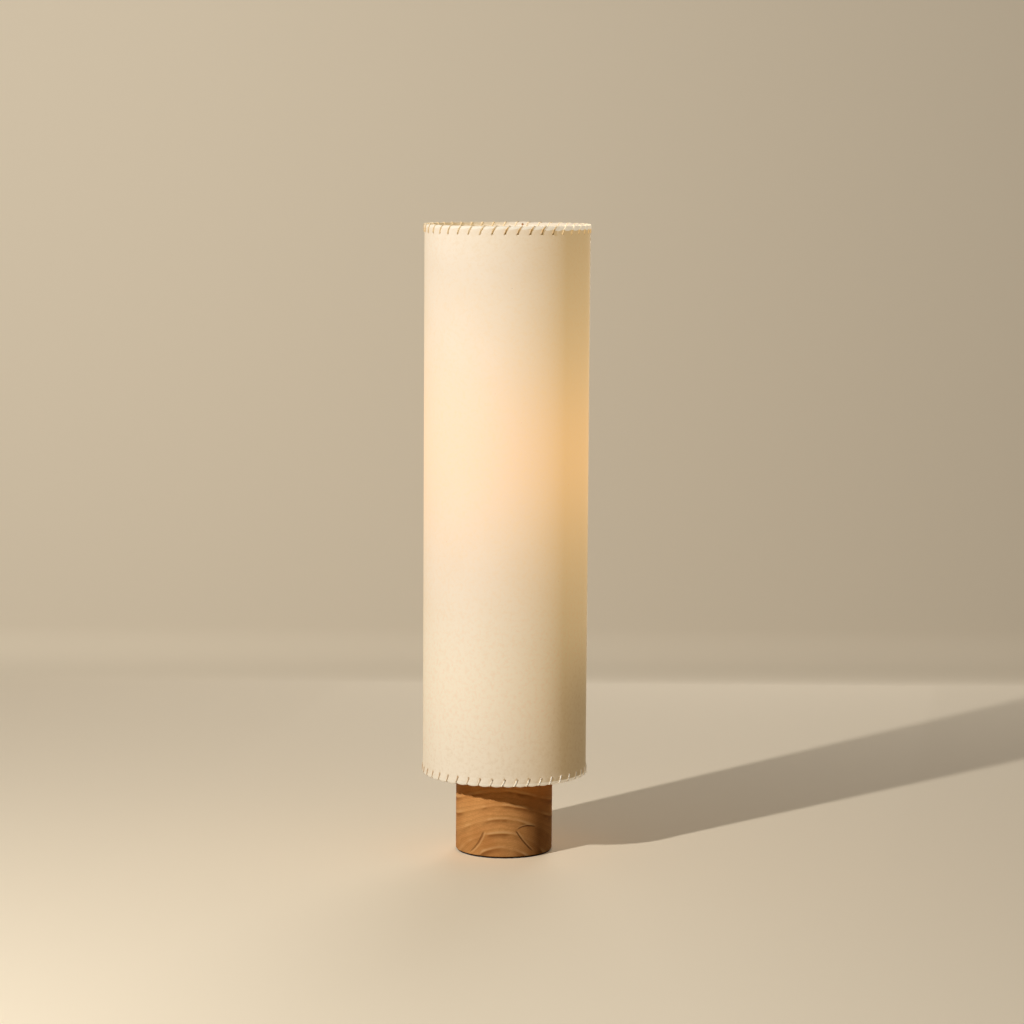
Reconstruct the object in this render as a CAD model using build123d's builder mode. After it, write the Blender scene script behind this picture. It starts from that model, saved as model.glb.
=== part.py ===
from build123d import *
from math import cos, degrees, pi, radians, sin
import os

os.makedirs("parts", exist_ok=True)

# A column lamp: a tall laced cylinder shade hangs from a harp above a round wooden base.
# Millimetres, +Z up, origin on the floor under the middle of the base, front towards -Y.

# Wooden base and what closes it from below
block_dia = 180.0
block_height = 180.0
block_round = 1.5
felt_thick = 3.0
felt_inset = 3.0
cover_thick = 2.0
cover_inset = 8.0
cover_gap = 0.3
cavity_dia = 134.0
cavity_depth = 52.0
ballast_thick = 28.0
ballast_gap = 2.0
cover_screw_count = 4
cover_screw_dia = 3.5
cover_screw_head_dia = 6.8
cover_screw_length = 14.0

# Cord inlet at the back, with no cord
bush_bore_dia = 7.6
bush_body_dia = 12.0
bush_flange_dia = 17.0
bush_flange_thick = 2.5
spot_face_depth = 0.9

# Terminal block under the ballast
terminal_width = 22.0
terminal_depth = 16.0
terminal_height = 12.0
terminal_front = 34.0
terminal_pitch = 11.0
terminal_hole_dia = 3.2
terminal_hole_rise = 5.0
terminal_screw_dia = 3.0
fixing_screw_dia = 3.0
fixing_head_dia = 5.6
fixing_head_height = 2.4
fixing_grip = 8.0

# Lamp pipe, the sleeve tube over it and what clamps them
rod_dia = 9.6
rod_bore_dia = 6.4
rod_below_nut = 1.5
washer_dia = 26.0
washer_thick = 1.5
nut_flats = 14.0
nut_thick = 5.0
thread_gap = 0.05
pass_gap = 0.4
check_ring_dia = 42.0
check_ring_thick = 4.0
spigot_length = 3.0
spigot_gap = 0.15
sleeve_dia = 16.0
sleeve_wall = 1.2
sleeve_length = 444.0
neck_ring_thick = 2.0

# Leads from the terminal block to the lampholder
lead_dia = 2.2
lead_spacing = 2.8
lead_level = 11.5
lead_bend = 4.5

# Harp, its saddle and its two sleeves
saddle_thick = 1.5
saddle_width = 14.0
saddle_pad = 44.0
tongue_width = 4.0
tongue_height = 12.0
tongue_bend = 0.4
harp_wire_dia = 4.0
harp_leg_spacing = 57.2
harp_height = 380.0
harp_belly = 112.0
harp_shoulder = 44.0
harp_straight = 42.0
harp_belly_low = 120.0
harp_belly_high = 235.0
ferrule_bore_dia = 7.8
ferrule_wall = 0.8
ferrule_height = 14.0
hub_dia = 12.0
hub_height = 11.0
hub_wire_drop = 6.0
stud_dia = 6.3
stud_height = 14.0

# Lampholder
saddle_nut_thick = 3.5
neck_dia = 14.0
neck_height = 8.0
neck_grip = 7.0
dome_height = 10.0
lip_height = 6.0
holder_dia = 36.2
holder_wall = 0.6
holder_height = 46.0
holder_in_cap = 4.0
cap_wall = 0.8
cap_gap = 0.2
liner_wall = 0.6
liner_gap = 0.3
liner_short = 1.5
core_gap = 0.4
core_height = 19.0
core_above_shell_foot = 2.0
thread_shell_bore = 27.0
thread_shell_wall = 0.4
thread_shell_height = 24.0
thread_shell_lip = 5.0
contact_width = 6.0
contact_length = 14.0
contact_thick = 1.3
holder_screw_dia = 3.0
holder_screw_head_dia = 6.0
holder_screw_head_height = 2.2
holder_screw_grip = 5.0
holder_screw_spacing = 18.0
set_screw_dia = 3.0
set_screw_length = 4.0

# Lamp bulb with a screw cap
bulb_cap_dia = 25.8
bulb_cap_wall = 0.4
bulb_cap_height = 19.5
bulb_tip_dia = 9.0
bulb_tip_height = 1.7
bulb_glass_height = 4.5
bulb_glass_dia = 21.0
bulb_body_height = 40.0
bulb_body_wall = 1.5
bulb_dia = 60.0
bulb_dome_wall = 1.2
bulb_joint_gap = 0.2
bulb_neck_dia = 27.0
board_dia = 48.0
board_thick = 1.6
chip_count = 12
chip_size = 3.0
chip_thick = 0.7
chip_ring_dia = 36.0
driver_width = 16.0
driver_height = 26.0

# Shade: skin, wire frame and lacing
shade_dia = 304.8
shade_height = 1016.0
skin_wall = 1.0
spider_drop = 152.0
ring_wire_dia = 4.0
rib_wire_dia = 3.2
rib_count = 3
wire_gap = 0.1
hub_washer_dia = 28.0
hub_washer_thick = 2.0
hub_washer_hole_dia = 7.2
lap_width = 10.0
lap_to_stitch = 2.3
stitch_count = 42
first_stitch = -1.8
seam_angle = 79.0
lace_dia = 2.4
lace_gap = 0.15
lace_hole_dia = 3.0
lace_end_gap = 0.05
top_hole_drop = 13.0
top_stitch_lean = 8.0
bottom_hole_rise = 11.0
bottom_stitch_lean = 5.0

# Finial over the shade
finial_washer_dia = 18.0
finial_washer_thick = 1.0
finial_dia = 24.0
finial_height = 32.0
finial_foot_dia = 15.0
finial_foot_height = 5.0
finial_bore_spare = 1.5

# Levels from the floor up
block_bottom = felt_thick
block_top = block_bottom + block_height
cavity_top = block_bottom + cavity_depth
ballast_bottom = cavity_top - ballast_thick
washer_bottom = ballast_bottom - washer_thick
nut_bottom = washer_bottom - nut_thick
rod_bottom = nut_bottom - rod_below_nut
terminal_bottom = ballast_bottom - terminal_height
wire_level = terminal_bottom + terminal_hole_rise
check_ring_top = block_top + check_ring_thick
sleeve_top = check_ring_top + sleeve_length
neck_ring_top = sleeve_top + neck_ring_thick
saddle_top = neck_ring_top + saddle_thick
harp_seat = saddle_top + harp_height
cap_bottom = saddle_top + saddle_nut_thick
dome_bottom = cap_bottom + neck_height
lip_bottom = dome_bottom + dome_height
lip_top = lip_bottom + lip_height
rod_top = cap_bottom + neck_grip
holder_bottom = lip_top - holder_in_cap
core_bottom = holder_bottom + core_above_shell_foot
core_top = core_bottom + core_height
contact_top = core_top + contact_thick
skin_top = harp_seat + spider_drop
skin_bottom = skin_top - shade_height

# Radii that several pieces share
block_r = block_dia / 2
cavity_r = cavity_dia / 2
rebate_r = block_r - cover_inset
rod_r = rod_dia / 2
rod_hole_r = rod_r + pass_gap
thread_r = rod_r + thread_gap
sleeve_bore_r = sleeve_dia / 2 - sleeve_wall
spigot_r = sleeve_bore_r - spigot_gap
spot_face_y = block_r - spot_face_depth

with BuildPart() as felt_pad:
    with BuildSketch():
        Circle(block_r - felt_inset)
    extrude(amount=felt_thick)
felt_pad.part.label = "felt_pad"
export_step(felt_pad.part, "parts/felt_pad.step")

# The block is turned from one piece of wood and hollowed from below for the ballast.
cover_screw_r = (cavity_r + rebate_r) / 2
cover_screw_plane = Plane.XY.offset(block_bottom)
with BuildPart() as base_block:
    with BuildSketch(Plane.XY.offset(block_bottom)):
        Circle(block_r)
    extrude(amount=block_height)
    fillet(base_block.edges().filter_by(GeomType.CIRCLE), radius=block_round)
    with BuildSketch(Plane.XY.offset(block_bottom)):
        Circle(rebate_r)
    extrude(amount=cover_thick, mode=Mode.SUBTRACT)
    with BuildSketch(Plane.XY.offset(block_bottom)):
        Circle(cavity_r)
    extrude(amount=cavity_depth, mode=Mode.SUBTRACT)
    with BuildSketch(Plane.XY.offset(cavity_top)):
        Circle(rod_hole_r)
    extrude(until=Until.LAST, mode=Mode.SUBTRACT)
    with BuildSketch(cover_screw_plane):
        with PolarLocations(cover_screw_r, cover_screw_count, start_angle=45):
            Circle(cover_screw_dia / 2 + thread_gap)
    extrude(amount=cover_screw_length, mode=Mode.SUBTRACT)
    with BuildSketch(Plane.XZ.offset(-block_r)):
        with Locations((0, wire_level)):
            Circle(bush_body_dia / 2 + cover_gap)
    extrude(amount=block_r - cavity_r / 2, mode=Mode.SUBTRACT)
    with BuildSketch(Plane.XZ.offset(-block_r)):
        with Locations((0, wire_level)):
            Circle(bush_flange_dia / 2 + cover_gap)
    extrude(amount=spot_face_depth, mode=Mode.SUBTRACT)
base_block.part.label = "base_block"
export_step(base_block.part, "parts/base_block.step")

with BuildPart() as bottom_cover:
    with BuildSketch(Plane.XY.offset(block_bottom)):
        Circle(rebate_r - cover_gap)
    extrude(amount=cover_thick)
    with BuildSketch(cover_screw_plane):
        with PolarLocations(cover_screw_r, cover_screw_count, start_angle=45):
            Circle(cover_screw_dia / 2 + cover_gap)
    extrude(amount=cover_thick, mode=Mode.SUBTRACT)
    with BuildSketch(cover_screw_plane):
        with PolarLocations(cover_screw_r, cover_screw_count, start_angle=45):
            Circle(cover_screw_head_dia / 2 + cover_gap)
    extrude(amount=cover_thick - cover_gap, taper=45, mode=Mode.SUBTRACT)
bottom_cover.part.label = "bottom_cover"
export_step(bottom_cover.part, "parts/bottom_cover.step")

# Each screw has a flush cone head with a cross slot and a plain shank in the wood.
head_rise = (cover_screw_head_dia - cover_screw_dia) / 2
with BuildPart() as cover_screws:
    with BuildSketch(cover_screw_plane):
        with PolarLocations(cover_screw_r, cover_screw_count, start_angle=45):
            Circle(cover_screw_dia / 2)
    extrude(amount=cover_screw_length - cover_gap)
    with BuildSketch(cover_screw_plane):
        with PolarLocations(cover_screw_r, cover_screw_count, start_angle=45):
            Circle(cover_screw_head_dia / 2)
    extrude(amount=head_rise, taper=45)
    with BuildSketch(cover_screw_plane):
        with PolarLocations(cover_screw_r, cover_screw_count, start_angle=45):
            Rectangle(cover_screw_dia, cover_screw_dia / 4)
            Rectangle(cover_screw_dia / 4, cover_screw_dia)
    extrude(amount=head_rise / 2, mode=Mode.SUBTRACT)
cover_screws.part.label = "cover_screws"
export_step(cover_screws.part, "parts/cover_screws.step")

# The terminal block hangs under the ballast, with one row of holes towards the inlet.
terminal_middle = terminal_front + terminal_depth / 2
terminal_back = terminal_front + terminal_depth
screw_inset = terminal_depth / 4
screw_rows = [terminal_front + screw_inset, terminal_back - screw_inset]
screw_spots = [(side * terminal_pitch / 2, row) for side in (-1, 1) for row in screw_rows]

with BuildPart() as ballast_weight:
    with BuildSketch(Plane.XY.offset(ballast_bottom)):
        Circle(cavity_r - ballast_gap)
        Circle(rod_hole_r, mode=Mode.SUBTRACT)
    extrude(amount=ballast_thick)
    with BuildSketch(Plane.XY.offset(ballast_bottom)):
        with Locations((0, terminal_middle)):
            Circle(fixing_screw_dia / 2 + thread_gap)
    extrude(amount=fixing_grip + cover_gap, mode=Mode.SUBTRACT)
ballast_weight.part.label = "ballast_weight"
export_step(ballast_weight.part, "parts/ballast_weight.step")

with BuildPart() as terminal_block:
    with BuildSketch(Plane.XY.offset(terminal_bottom)):
        with Locations((0, terminal_middle)):
            Rectangle(terminal_width, terminal_depth)
    extrude(amount=terminal_height)
    fillet(terminal_block.edges().filter_by(Axis.Z), radius=fixing_screw_dia / 3)
    with BuildSketch(Plane.XZ.offset(-terminal_back)):
        with Locations((0, wire_level)):
            with GridLocations(terminal_pitch, 0, 2, 1):
                Circle(terminal_hole_dia / 2)
    extrude(amount=terminal_depth, mode=Mode.SUBTRACT)
    with BuildSketch(Plane.XY.offset(terminal_bottom)):
        with Locations(*screw_spots):
            Circle(terminal_screw_dia / 2 + thread_gap)
    extrude(amount=terminal_hole_rise, mode=Mode.SUBTRACT)
    with BuildSketch(Plane.XY.offset(terminal_bottom)):
        with Locations((0, terminal_middle)):
            Circle(fixing_head_dia / 2 + cover_gap)
    extrude(amount=fixing_head_height, mode=Mode.SUBTRACT)
    with BuildSketch(Plane.XY.offset(terminal_bottom)):
        with Locations((0, terminal_middle)):
            Circle(fixing_screw_dia / 2 + cover_gap)
    extrude(amount=terminal_height, mode=Mode.SUBTRACT)
terminal_block.part.label = "terminal_block"
export_step(terminal_block.part, "parts/terminal_block.step")

with BuildPart() as terminal_screws:
    with BuildSketch(Plane.XY.offset(terminal_bottom)):
        with Locations(*screw_spots):
            Circle(terminal_screw_dia / 2)
    extrude(amount=terminal_hole_rise - lead_dia / 2 - thread_gap)
    with BuildSketch(Plane.XY.offset(terminal_bottom)):
        with Locations(*screw_spots):
            Rectangle(terminal_screw_dia + 1, terminal_screw_dia / 5)
    extrude(amount=terminal_screw_dia / 4, mode=Mode.SUBTRACT)
terminal_screws.part.label = "terminal_screws"
export_step(terminal_screws.part, "parts/terminal_screws.step")

with BuildPart() as fixing_screw:
    with BuildSketch(Plane.XY.offset(terminal_bottom)):
        with Locations((0, terminal_middle)):
            Circle(fixing_head_dia / 2)
    extrude(amount=fixing_head_height)
    with BuildSketch(Plane.XY.offset(terminal_bottom)):
        with Locations((0, terminal_middle)):
            Circle(fixing_screw_dia / 2)
    extrude(amount=terminal_height + fixing_grip)
    with BuildSketch(Plane.XY.offset(terminal_bottom)):
        with Locations((0, terminal_middle)):
            Rectangle(fixing_head_dia + 1, fixing_screw_dia / 4)
    extrude(amount=fixing_head_height / 2, mode=Mode.SUBTRACT)
fixing_screw.part.label = "fixing_screw"
export_step(fixing_screw.part, "parts/fixing_screw.step")

# The bush lines the cord inlet, its flange on a flat spot in the back of the block.
bush_plane = Plane.XZ.offset(-spot_face_y)
with BuildPart() as cord_bush:
    with BuildSketch(bush_plane):
        with Locations((0, wire_level)):
            Circle(bush_flange_dia / 2)
    extrude(amount=-bush_flange_thick)
    fillet(cord_bush.edges().filter_by(GeomType.CIRCLE).sort_by(Axis.Y)[-1], radius=bush_flange_thick / 2)
    with BuildSketch(bush_plane):
        with Locations((0, wire_level)):
            Circle(bush_body_dia / 2)
    extrude(amount=spot_face_y - cavity_r)
    with BuildSketch(Plane.XZ.offset(-spot_face_y - bush_flange_thick)):
        with Locations((0, wire_level)):
            Circle(bush_bore_dia / 2)
    extrude(amount=spot_face_y + bush_flange_thick - cavity_r, mode=Mode.SUBTRACT)
cord_bush.part.label = "cord_bush"
export_step(cord_bush.part, "parts/cord_bush.step")

with BuildPart() as rod_washer:
    with BuildSketch(Plane.XY.offset(washer_bottom)):
        Circle(washer_dia / 2)
        Circle(rod_hole_r, mode=Mode.SUBTRACT)
    extrude(amount=washer_thick)
rod_washer.part.label = "rod_washer"
export_step(rod_washer.part, "parts/rod_washer.step")

with BuildPart() as rod_nut:
    with BuildSketch(Plane.XY.offset(nut_bottom)):
        RegularPolygon(nut_flats / 2, 6, major_radius=False)
        Circle(thread_r, mode=Mode.SUBTRACT)
    extrude(amount=nut_thick)
rod_nut.part.label = "rod_nut"
export_step(rod_nut.part, "parts/rod_nut.step")

with BuildPart() as lamp_pipe:
    with BuildSketch(Plane.XY.offset(rod_bottom)):
        Circle(rod_r)
        Circle(rod_bore_dia / 2, mode=Mode.SUBTRACT)
    extrude(amount=rod_top - rod_bottom)
lamp_pipe.part.label = "lamp_pipe"
export_step(lamp_pipe.part, "parts/lamp_pipe.step")

# The check ring stands on the block, and its spigot centres the sleeve tube.
with BuildPart() as check_ring:
    with BuildSketch(Plane.XY.offset(block_top)):
        Circle(check_ring_dia / 2)
    extrude(amount=check_ring_thick)
    chamfer(check_ring.edges().group_by(Axis.Z)[-1], length=check_ring_thick / 2)
    with BuildSketch(Plane.XY.offset(check_ring_top)):
        Circle(spigot_r)
    extrude(amount=spigot_length)
    with BuildSketch(Plane.XY.offset(block_top)):
        Circle(rod_hole_r)
    extrude(amount=check_ring_thick + spigot_length, mode=Mode.SUBTRACT)
check_ring.part.label = "check_ring"
export_step(check_ring.part, "parts/check_ring.step")

with BuildPart() as pole_sleeve:
    with BuildSketch(Plane.XY.offset(check_ring_top)):
        Circle(sleeve_dia / 2)
        Circle(sleeve_bore_r, mode=Mode.SUBTRACT)
    extrude(amount=sleeve_length)
pole_sleeve.part.label = "pole_sleeve"
export_step(pole_sleeve.part, "parts/pole_sleeve.step")

with BuildPart() as neck_ring:
    with BuildSketch(Plane.XY.offset(sleeve_top)):
        Circle(sleeve_dia / 2)
    extrude(amount=neck_ring_thick)
    with BuildSketch(Plane.XY.offset(sleeve_top)):
        Circle(spigot_r)
    extrude(amount=-spigot_length)
    with BuildSketch(Plane.XY.offset(neck_ring_top)):
        Circle(rod_hole_r)
    extrude(amount=-neck_ring_thick - spigot_length, mode=Mode.SUBTRACT)
neck_ring.part.label = "neck_ring"
export_step(neck_ring.part, "parts/neck_ring.step")

# Leads: from the terminal block down under the nut, up the pipe and out to the lampholder.
holder_screw_level = core_bottom - holder_screw_head_height
lead_exit = rod_top + lead_dia
lead_entry = (lead_exit + holder_screw_level) / 2 + lead_dia / 2


def lead_route(side):
    inner = side * lead_spacing / 2
    outer = side * terminal_pitch / 2
    ear = side * holder_screw_spacing / 2
    return [
        (outer, terminal_front + terminal_depth / 3, wire_level),
        (outer, terminal_front * 0.7, wire_level),
        (inner, terminal_front * 0.35, lead_level),
        (inner, 0, lead_level),
        (inner, 0, lead_exit),
        (ear, 0, lead_entry),
        (ear, 0, holder_screw_level),
    ]


lead_radii = [lead_bend, lead_bend, lead_bend, lead_dia, lead_dia]

with BuildPart() as lead_live:
    with BuildLine():
        live_path = FilletPolyline(*lead_route(1), radius=lead_radii)
    with BuildSketch(Plane(origin=live_path @ 0, z_dir=live_path % 0)):
        Circle(lead_dia / 2)
    sweep()
lead_live.part.label = "lead_live"
export_step(lead_live.part, "parts/lead_live.step")

with BuildPart() as lead_neutral:
    with BuildLine():
        neutral_path = FilletPolyline(*lead_route(-1), radius=lead_radii)
    with BuildSketch(Plane(origin=neutral_path @ 0, z_dir=neutral_path % 0)):
        Circle(lead_dia / 2)
    sweep()
lead_neutral.part.label = "lead_neutral"
export_step(lead_neutral.part, "parts/lead_neutral.step")

# The saddle is a strap whose narrow tongues stand up beside the legs of the harp.
leg_x = harp_leg_spacing / 2
tongue_inner = leg_x + harp_wire_dia / 2 + cover_gap
tongue_middle = tongue_inner + saddle_thick / 2
strap_level = saddle_top - saddle_thick / 2
tongue_top = saddle_top + tongue_height
with BuildPart() as harp_saddle:
    with BuildSketch(Plane.XZ):
        with BuildLine():
            FilletPolyline(
                (-tongue_middle, tongue_top),
                (-tongue_middle, strap_level),
                (tongue_middle, strap_level),
                (tongue_middle, tongue_top),
                radius=tongue_bend + saddle_thick / 2,
            )
        trace(line_width=saddle_thick)
    extrude(amount=tongue_width / 2, both=True)
    with BuildSketch(Plane.XY.offset(neck_ring_top)):
        Rectangle(saddle_pad, saddle_width)
    extrude(amount=saddle_thick)
    with BuildSketch(Plane.XY.offset(neck_ring_top)):
        Circle(rod_hole_r)
    extrude(amount=saddle_thick, mode=Mode.SUBTRACT)
harp_saddle.part.label = "harp_saddle"
export_step(harp_saddle.part, "parts/harp_saddle.step")

with BuildPart() as saddle_nut:
    with BuildSketch(Plane.XY.offset(saddle_top)):
        RegularPolygon(nut_flats / 2, 6, major_radius=False)
        Circle(thread_r, mode=Mode.SUBTRACT)
    extrude(amount=saddle_nut_thick)
saddle_nut.part.label = "saddle_nut"
export_step(saddle_nut.part, "parts/saddle_nut.step")

# Lampholder: a domed cap on the pipe, and a shell with its liner and core above it.
holder_r = holder_dia / 2
cap_inner_r = holder_r + cap_gap
neck_r = neck_dia / 2
with BuildPart() as holder_cap:
    with BuildSketch(Plane.XZ):
        with BuildLine():
            neck_line = Line((thread_r, cap_bottom), (neck_r, cap_bottom))
            neck_side = Line(neck_line @ 1, (neck_r, dome_bottom))
            dome = EllipticalCenterArc(
                (neck_r, lip_bottom),
                cap_inner_r + cap_wall - neck_r,
                dome_height,
                start_angle=270,
                arc_size=90,
            )
            lip_side = Line(dome @ 1, (cap_inner_r + cap_wall, lip_top))
            lip_rim = Line(lip_side @ 1, (cap_inner_r, lip_top))
            lip_inside = Line(lip_rim @ 1, (cap_inner_r, lip_bottom))
            dome_inside = EllipticalCenterArc(
                (neck_r - cap_wall, lip_bottom),
                cap_inner_r - neck_r + cap_wall,
                dome_height - cap_wall,
                start_angle=270,
                arc_size=90,
            )
            Line(dome_inside @ 0, (thread_r, dome_bottom + cap_wall))
            Line((thread_r, dome_bottom + cap_wall), neck_line @ 0)
        make_face()
    revolve(axis=Axis.Z)
    with BuildSketch(Plane.XZ.offset(neck_r)):
        with Locations((0, cap_bottom + neck_height / 2)):
            Circle(set_screw_dia / 2 + thread_gap)
    extrude(amount=-neck_r, mode=Mode.SUBTRACT)
holder_cap.part.label = "holder_cap"
export_step(holder_cap.part, "parts/holder_cap.step")

with BuildPart() as set_screw:
    with BuildSketch(Plane.XZ.offset(rod_r + thread_gap)):
        with Locations((0, cap_bottom + neck_height / 2)):
            Circle(set_screw_dia / 2)
    extrude(amount=set_screw_length)
    with BuildSketch(Plane.XZ.offset(rod_r + set_screw_length)):
        with Locations((0, cap_bottom + neck_height / 2)):
            Rectangle(set_screw_dia + 1, set_screw_dia / 5)
    extrude(amount=1, both=True, mode=Mode.SUBTRACT)
set_screw.part.label = "set_screw"
export_step(set_screw.part, "parts/set_screw.step")

with BuildPart() as holder_shell:
    with BuildSketch(Plane.XY.offset(holder_bottom)):
        Circle(holder_r)
        Circle(holder_r - holder_wall, mode=Mode.SUBTRACT)
    extrude(amount=holder_height)
holder_shell.part.label = "holder_shell"
export_step(holder_shell.part, "parts/holder_shell.step")

liner_r = holder_r - holder_wall - liner_gap
with BuildPart() as holder_liner:
    with BuildSketch(Plane.XY.offset(holder_bottom + liner_short)):
        Circle(liner_r)
        Circle(liner_r - liner_wall, mode=Mode.SUBTRACT)
    extrude(amount=holder_height - 2 * liner_short)
holder_liner.part.label = "holder_liner"
export_step(holder_liner.part, "parts/holder_liner.step")

with BuildPart() as holder_core:
    with BuildSketch(Plane.XY.offset(core_bottom)):
        Circle(liner_r - liner_wall - core_gap)
    extrude(amount=core_height)
    with BuildSketch(Plane.XY.offset(core_bottom)):
        with GridLocations(holder_screw_spacing, 0, 2, 1):
            Circle(holder_screw_dia / 2 + thread_gap)
    extrude(amount=holder_screw_grip + cover_gap, mode=Mode.SUBTRACT)
holder_core.part.label = "holder_core"
export_step(holder_core.part, "parts/holder_core.step")

with BuildPart() as holder_screws:
    with BuildSketch(Plane.XY.offset(core_bottom)):
        with GridLocations(holder_screw_spacing, 0, 2, 1):
            Circle(holder_screw_head_dia / 2)
    extrude(amount=-holder_screw_head_height)
    with BuildSketch(Plane.XY.offset(core_bottom)):
        with GridLocations(holder_screw_spacing, 0, 2, 1):
            Circle(holder_screw_dia / 2)
    extrude(amount=holder_screw_grip)
holder_screws.part.label = "holder_screws"
export_step(holder_screws.part, "parts/holder_screws.step")

thread_shell_r = thread_shell_bore / 2 + thread_shell_wall
with BuildPart() as thread_shell:
    with BuildSketch(Plane.XY.offset(core_top)):
        Circle(thread_shell_r)
    extrude(amount=thread_shell_height)
    with BuildSketch(Plane.XY.offset(core_top + thread_shell_wall)):
        Circle(thread_shell_bore / 2)
    extrude(amount=thread_shell_height, mode=Mode.SUBTRACT)
    with BuildSketch(Plane.XY.offset(core_top)):
        Circle(thread_shell_bore / 2 - thread_shell_lip)
    extrude(amount=thread_shell_wall, mode=Mode.SUBTRACT)
thread_shell.part.label = "thread_shell"
export_step(thread_shell.part, "parts/thread_shell.step")

with BuildPart() as centre_contact:
    with BuildSketch(Plane.XY.offset(core_top)):
        SlotOverall(contact_length, contact_width)
    extrude(amount=contact_thick)
centre_contact.part.label = "centre_contact"
export_step(centre_contact.part, "parts/centre_contact.step")

# Bulb: cap, glass foot and tip below; body, board and dome above.
bulb_tip_top = contact_top + bulb_tip_height
bulb_cap_bottom = bulb_tip_top + bulb_glass_height
bulb_cap_top = bulb_cap_bottom + bulb_cap_height
bulb_body_bottom = bulb_cap_top - bulb_cap_height / 5
bulb_body_top = bulb_body_bottom + bulb_body_height
bulb_cap_r = bulb_cap_dia / 2
bulb_glass_r = bulb_glass_dia / 2
bulb_r = bulb_dia / 2
bulb_neck_r = bulb_neck_dia / 2
bulb_plug_r = bulb_cap_r - bulb_cap_wall - bulb_joint_gap
board_level = bulb_body_top - 2 * board_thick

with BuildPart() as bulb_tip:
    with BuildSketch(Plane.XY.offset(contact_top)):
        Circle(bulb_tip_dia / 2)
    extrude(amount=bulb_tip_height)
    fillet(bulb_tip.edges().group_by(Axis.Z)[0], radius=bulb_tip_height * 0.6)
bulb_tip.part.label = "bulb_tip"
export_step(bulb_tip.part, "parts/bulb_tip.step")

with BuildPart() as bulb_glass_foot:
    with BuildSketch(Plane.XY.offset(bulb_tip_top)):
        Circle(bulb_tip_dia / 2 + bulb_tip_height / 2)
    with BuildSketch(Plane.XY.offset(bulb_cap_bottom)):
        Circle(bulb_glass_r)
    loft()
bulb_glass_foot.part.label = "bulb_glass_foot"
export_step(bulb_glass_foot.part, "parts/bulb_glass_foot.step")

with BuildPart() as bulb_cap:
    with BuildSketch(Plane.XY.offset(bulb_cap_bottom)):
        Circle(bulb_cap_r)
    extrude(amount=bulb_cap_height)
    chamfer(bulb_cap.edges().group_by(Axis.Z)[0], length=bulb_cap_r - bulb_glass_r - bulb_cap_wall)
    with BuildSketch(Plane.XY.offset(bulb_cap_top)):
        Circle(bulb_cap_r - bulb_cap_wall)
    extrude(amount=bulb_cap_r - bulb_glass_r - bulb_cap_height, mode=Mode.SUBTRACT)
bulb_cap.part.label = "bulb_cap"
export_step(bulb_cap.part, "parts/bulb_cap.step")

with BuildPart() as bulb_body:
    with BuildSketch(Plane.XZ):
        with BuildLine():
            plug = Line((bulb_plug_r, bulb_body_bottom), (bulb_plug_r, bulb_cap_top + bulb_joint_gap))
            collar = Line(plug @ 1, (bulb_neck_r, bulb_cap_top + bulb_joint_gap))
            flare = TangentArc(collar @ 1, (bulb_r, bulb_body_top), tangent=(0, 1))
            rim = Line(flare @ 1, (bulb_r - bulb_body_wall, bulb_body_top))
            inner_neck = (bulb_plug_r - bulb_body_wall, bulb_cap_top + bulb_joint_gap)
            inner_flare = TangentArc(inner_neck, rim @ 1, tangent=(0, 1))
            inner_plug = Line(inner_flare @ 0, (bulb_plug_r - bulb_body_wall, bulb_body_bottom))
            Line(inner_plug @ 1, plug @ 0)
        make_face()
    revolve(axis=Axis.Z)
bulb_body.part.label = "bulb_body"
export_step(bulb_body.part, "parts/bulb_body.step")

with BuildPart() as bulb_dome:
    with BuildSketch(Plane.XZ):
        with BuildLine():
            outside = CenterArc((0, bulb_body_top), bulb_r, start_angle=0, arc_size=90)
            inside = CenterArc((0, bulb_body_top), bulb_r - bulb_dome_wall, start_angle=0, arc_size=90)
            Line(inside @ 0, outside @ 0)
            Line(inside @ 1, outside @ 1)
        make_face()
    revolve(axis=Axis.Z)
bulb_dome.part.label = "bulb_dome"
export_step(bulb_dome.part, "parts/bulb_dome.step")

with BuildPart() as bulb_board:
    with BuildSketch(Plane.XY.offset(board_level)):
        Circle(board_dia / 2)
    extrude(amount=board_thick)
bulb_board.part.label = "bulb_board"
export_step(bulb_board.part, "parts/bulb_board.step")

with BuildPart() as bulb_chips:
    with BuildSketch(Plane.XY.offset(board_level + board_thick)):
        with PolarLocations(chip_ring_dia / 2, chip_count):
            Rectangle(chip_size, chip_size)
    extrude(amount=chip_thick)
bulb_chips.part.label = "bulb_chips"
export_step(bulb_chips.part, "parts/bulb_chips.step")

with BuildPart() as bulb_driver:
    with BuildSketch(Plane.XY.offset(board_level)):
        Rectangle(driver_width, board_thick)
    extrude(amount=-driver_height)
bulb_driver.part.label = "bulb_driver"
export_step(bulb_driver.part, "parts/bulb_driver.step")

# Harp: one bent wire from leg to leg, through the cross hole of the turned hub.
wire_top = harp_seat - hub_wire_drop
leg_end = (leg_x, 0, saddle_top)
half_route = [
    leg_end,
    (leg_x, 0, saddle_top + harp_straight),
    (harp_belly / 2, 0, saddle_top + harp_belly_low),
    (harp_belly / 2, 0, saddle_top + harp_belly_high),
    (harp_shoulder / 2, 0, wire_top),
]
harp_route = half_route + [(-x, y, z) for x, y, z in reversed(half_route)]
harp_radii = [harp_straight, harp_belly, harp_belly, hub_dia]
with BuildPart() as harp_wire:
    with BuildLine():
        harp_path = FilletPolyline(*harp_route, radius=harp_radii + harp_radii[::-1])
    with BuildSketch(Plane.XY.offset(saddle_top)):
        with Locations((leg_x, 0)):
            Circle(harp_wire_dia / 2)
    sweep()
harp_wire.part.label = "harp_wire"
export_step(harp_wire.part, "parts/harp_wire.step")

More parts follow.
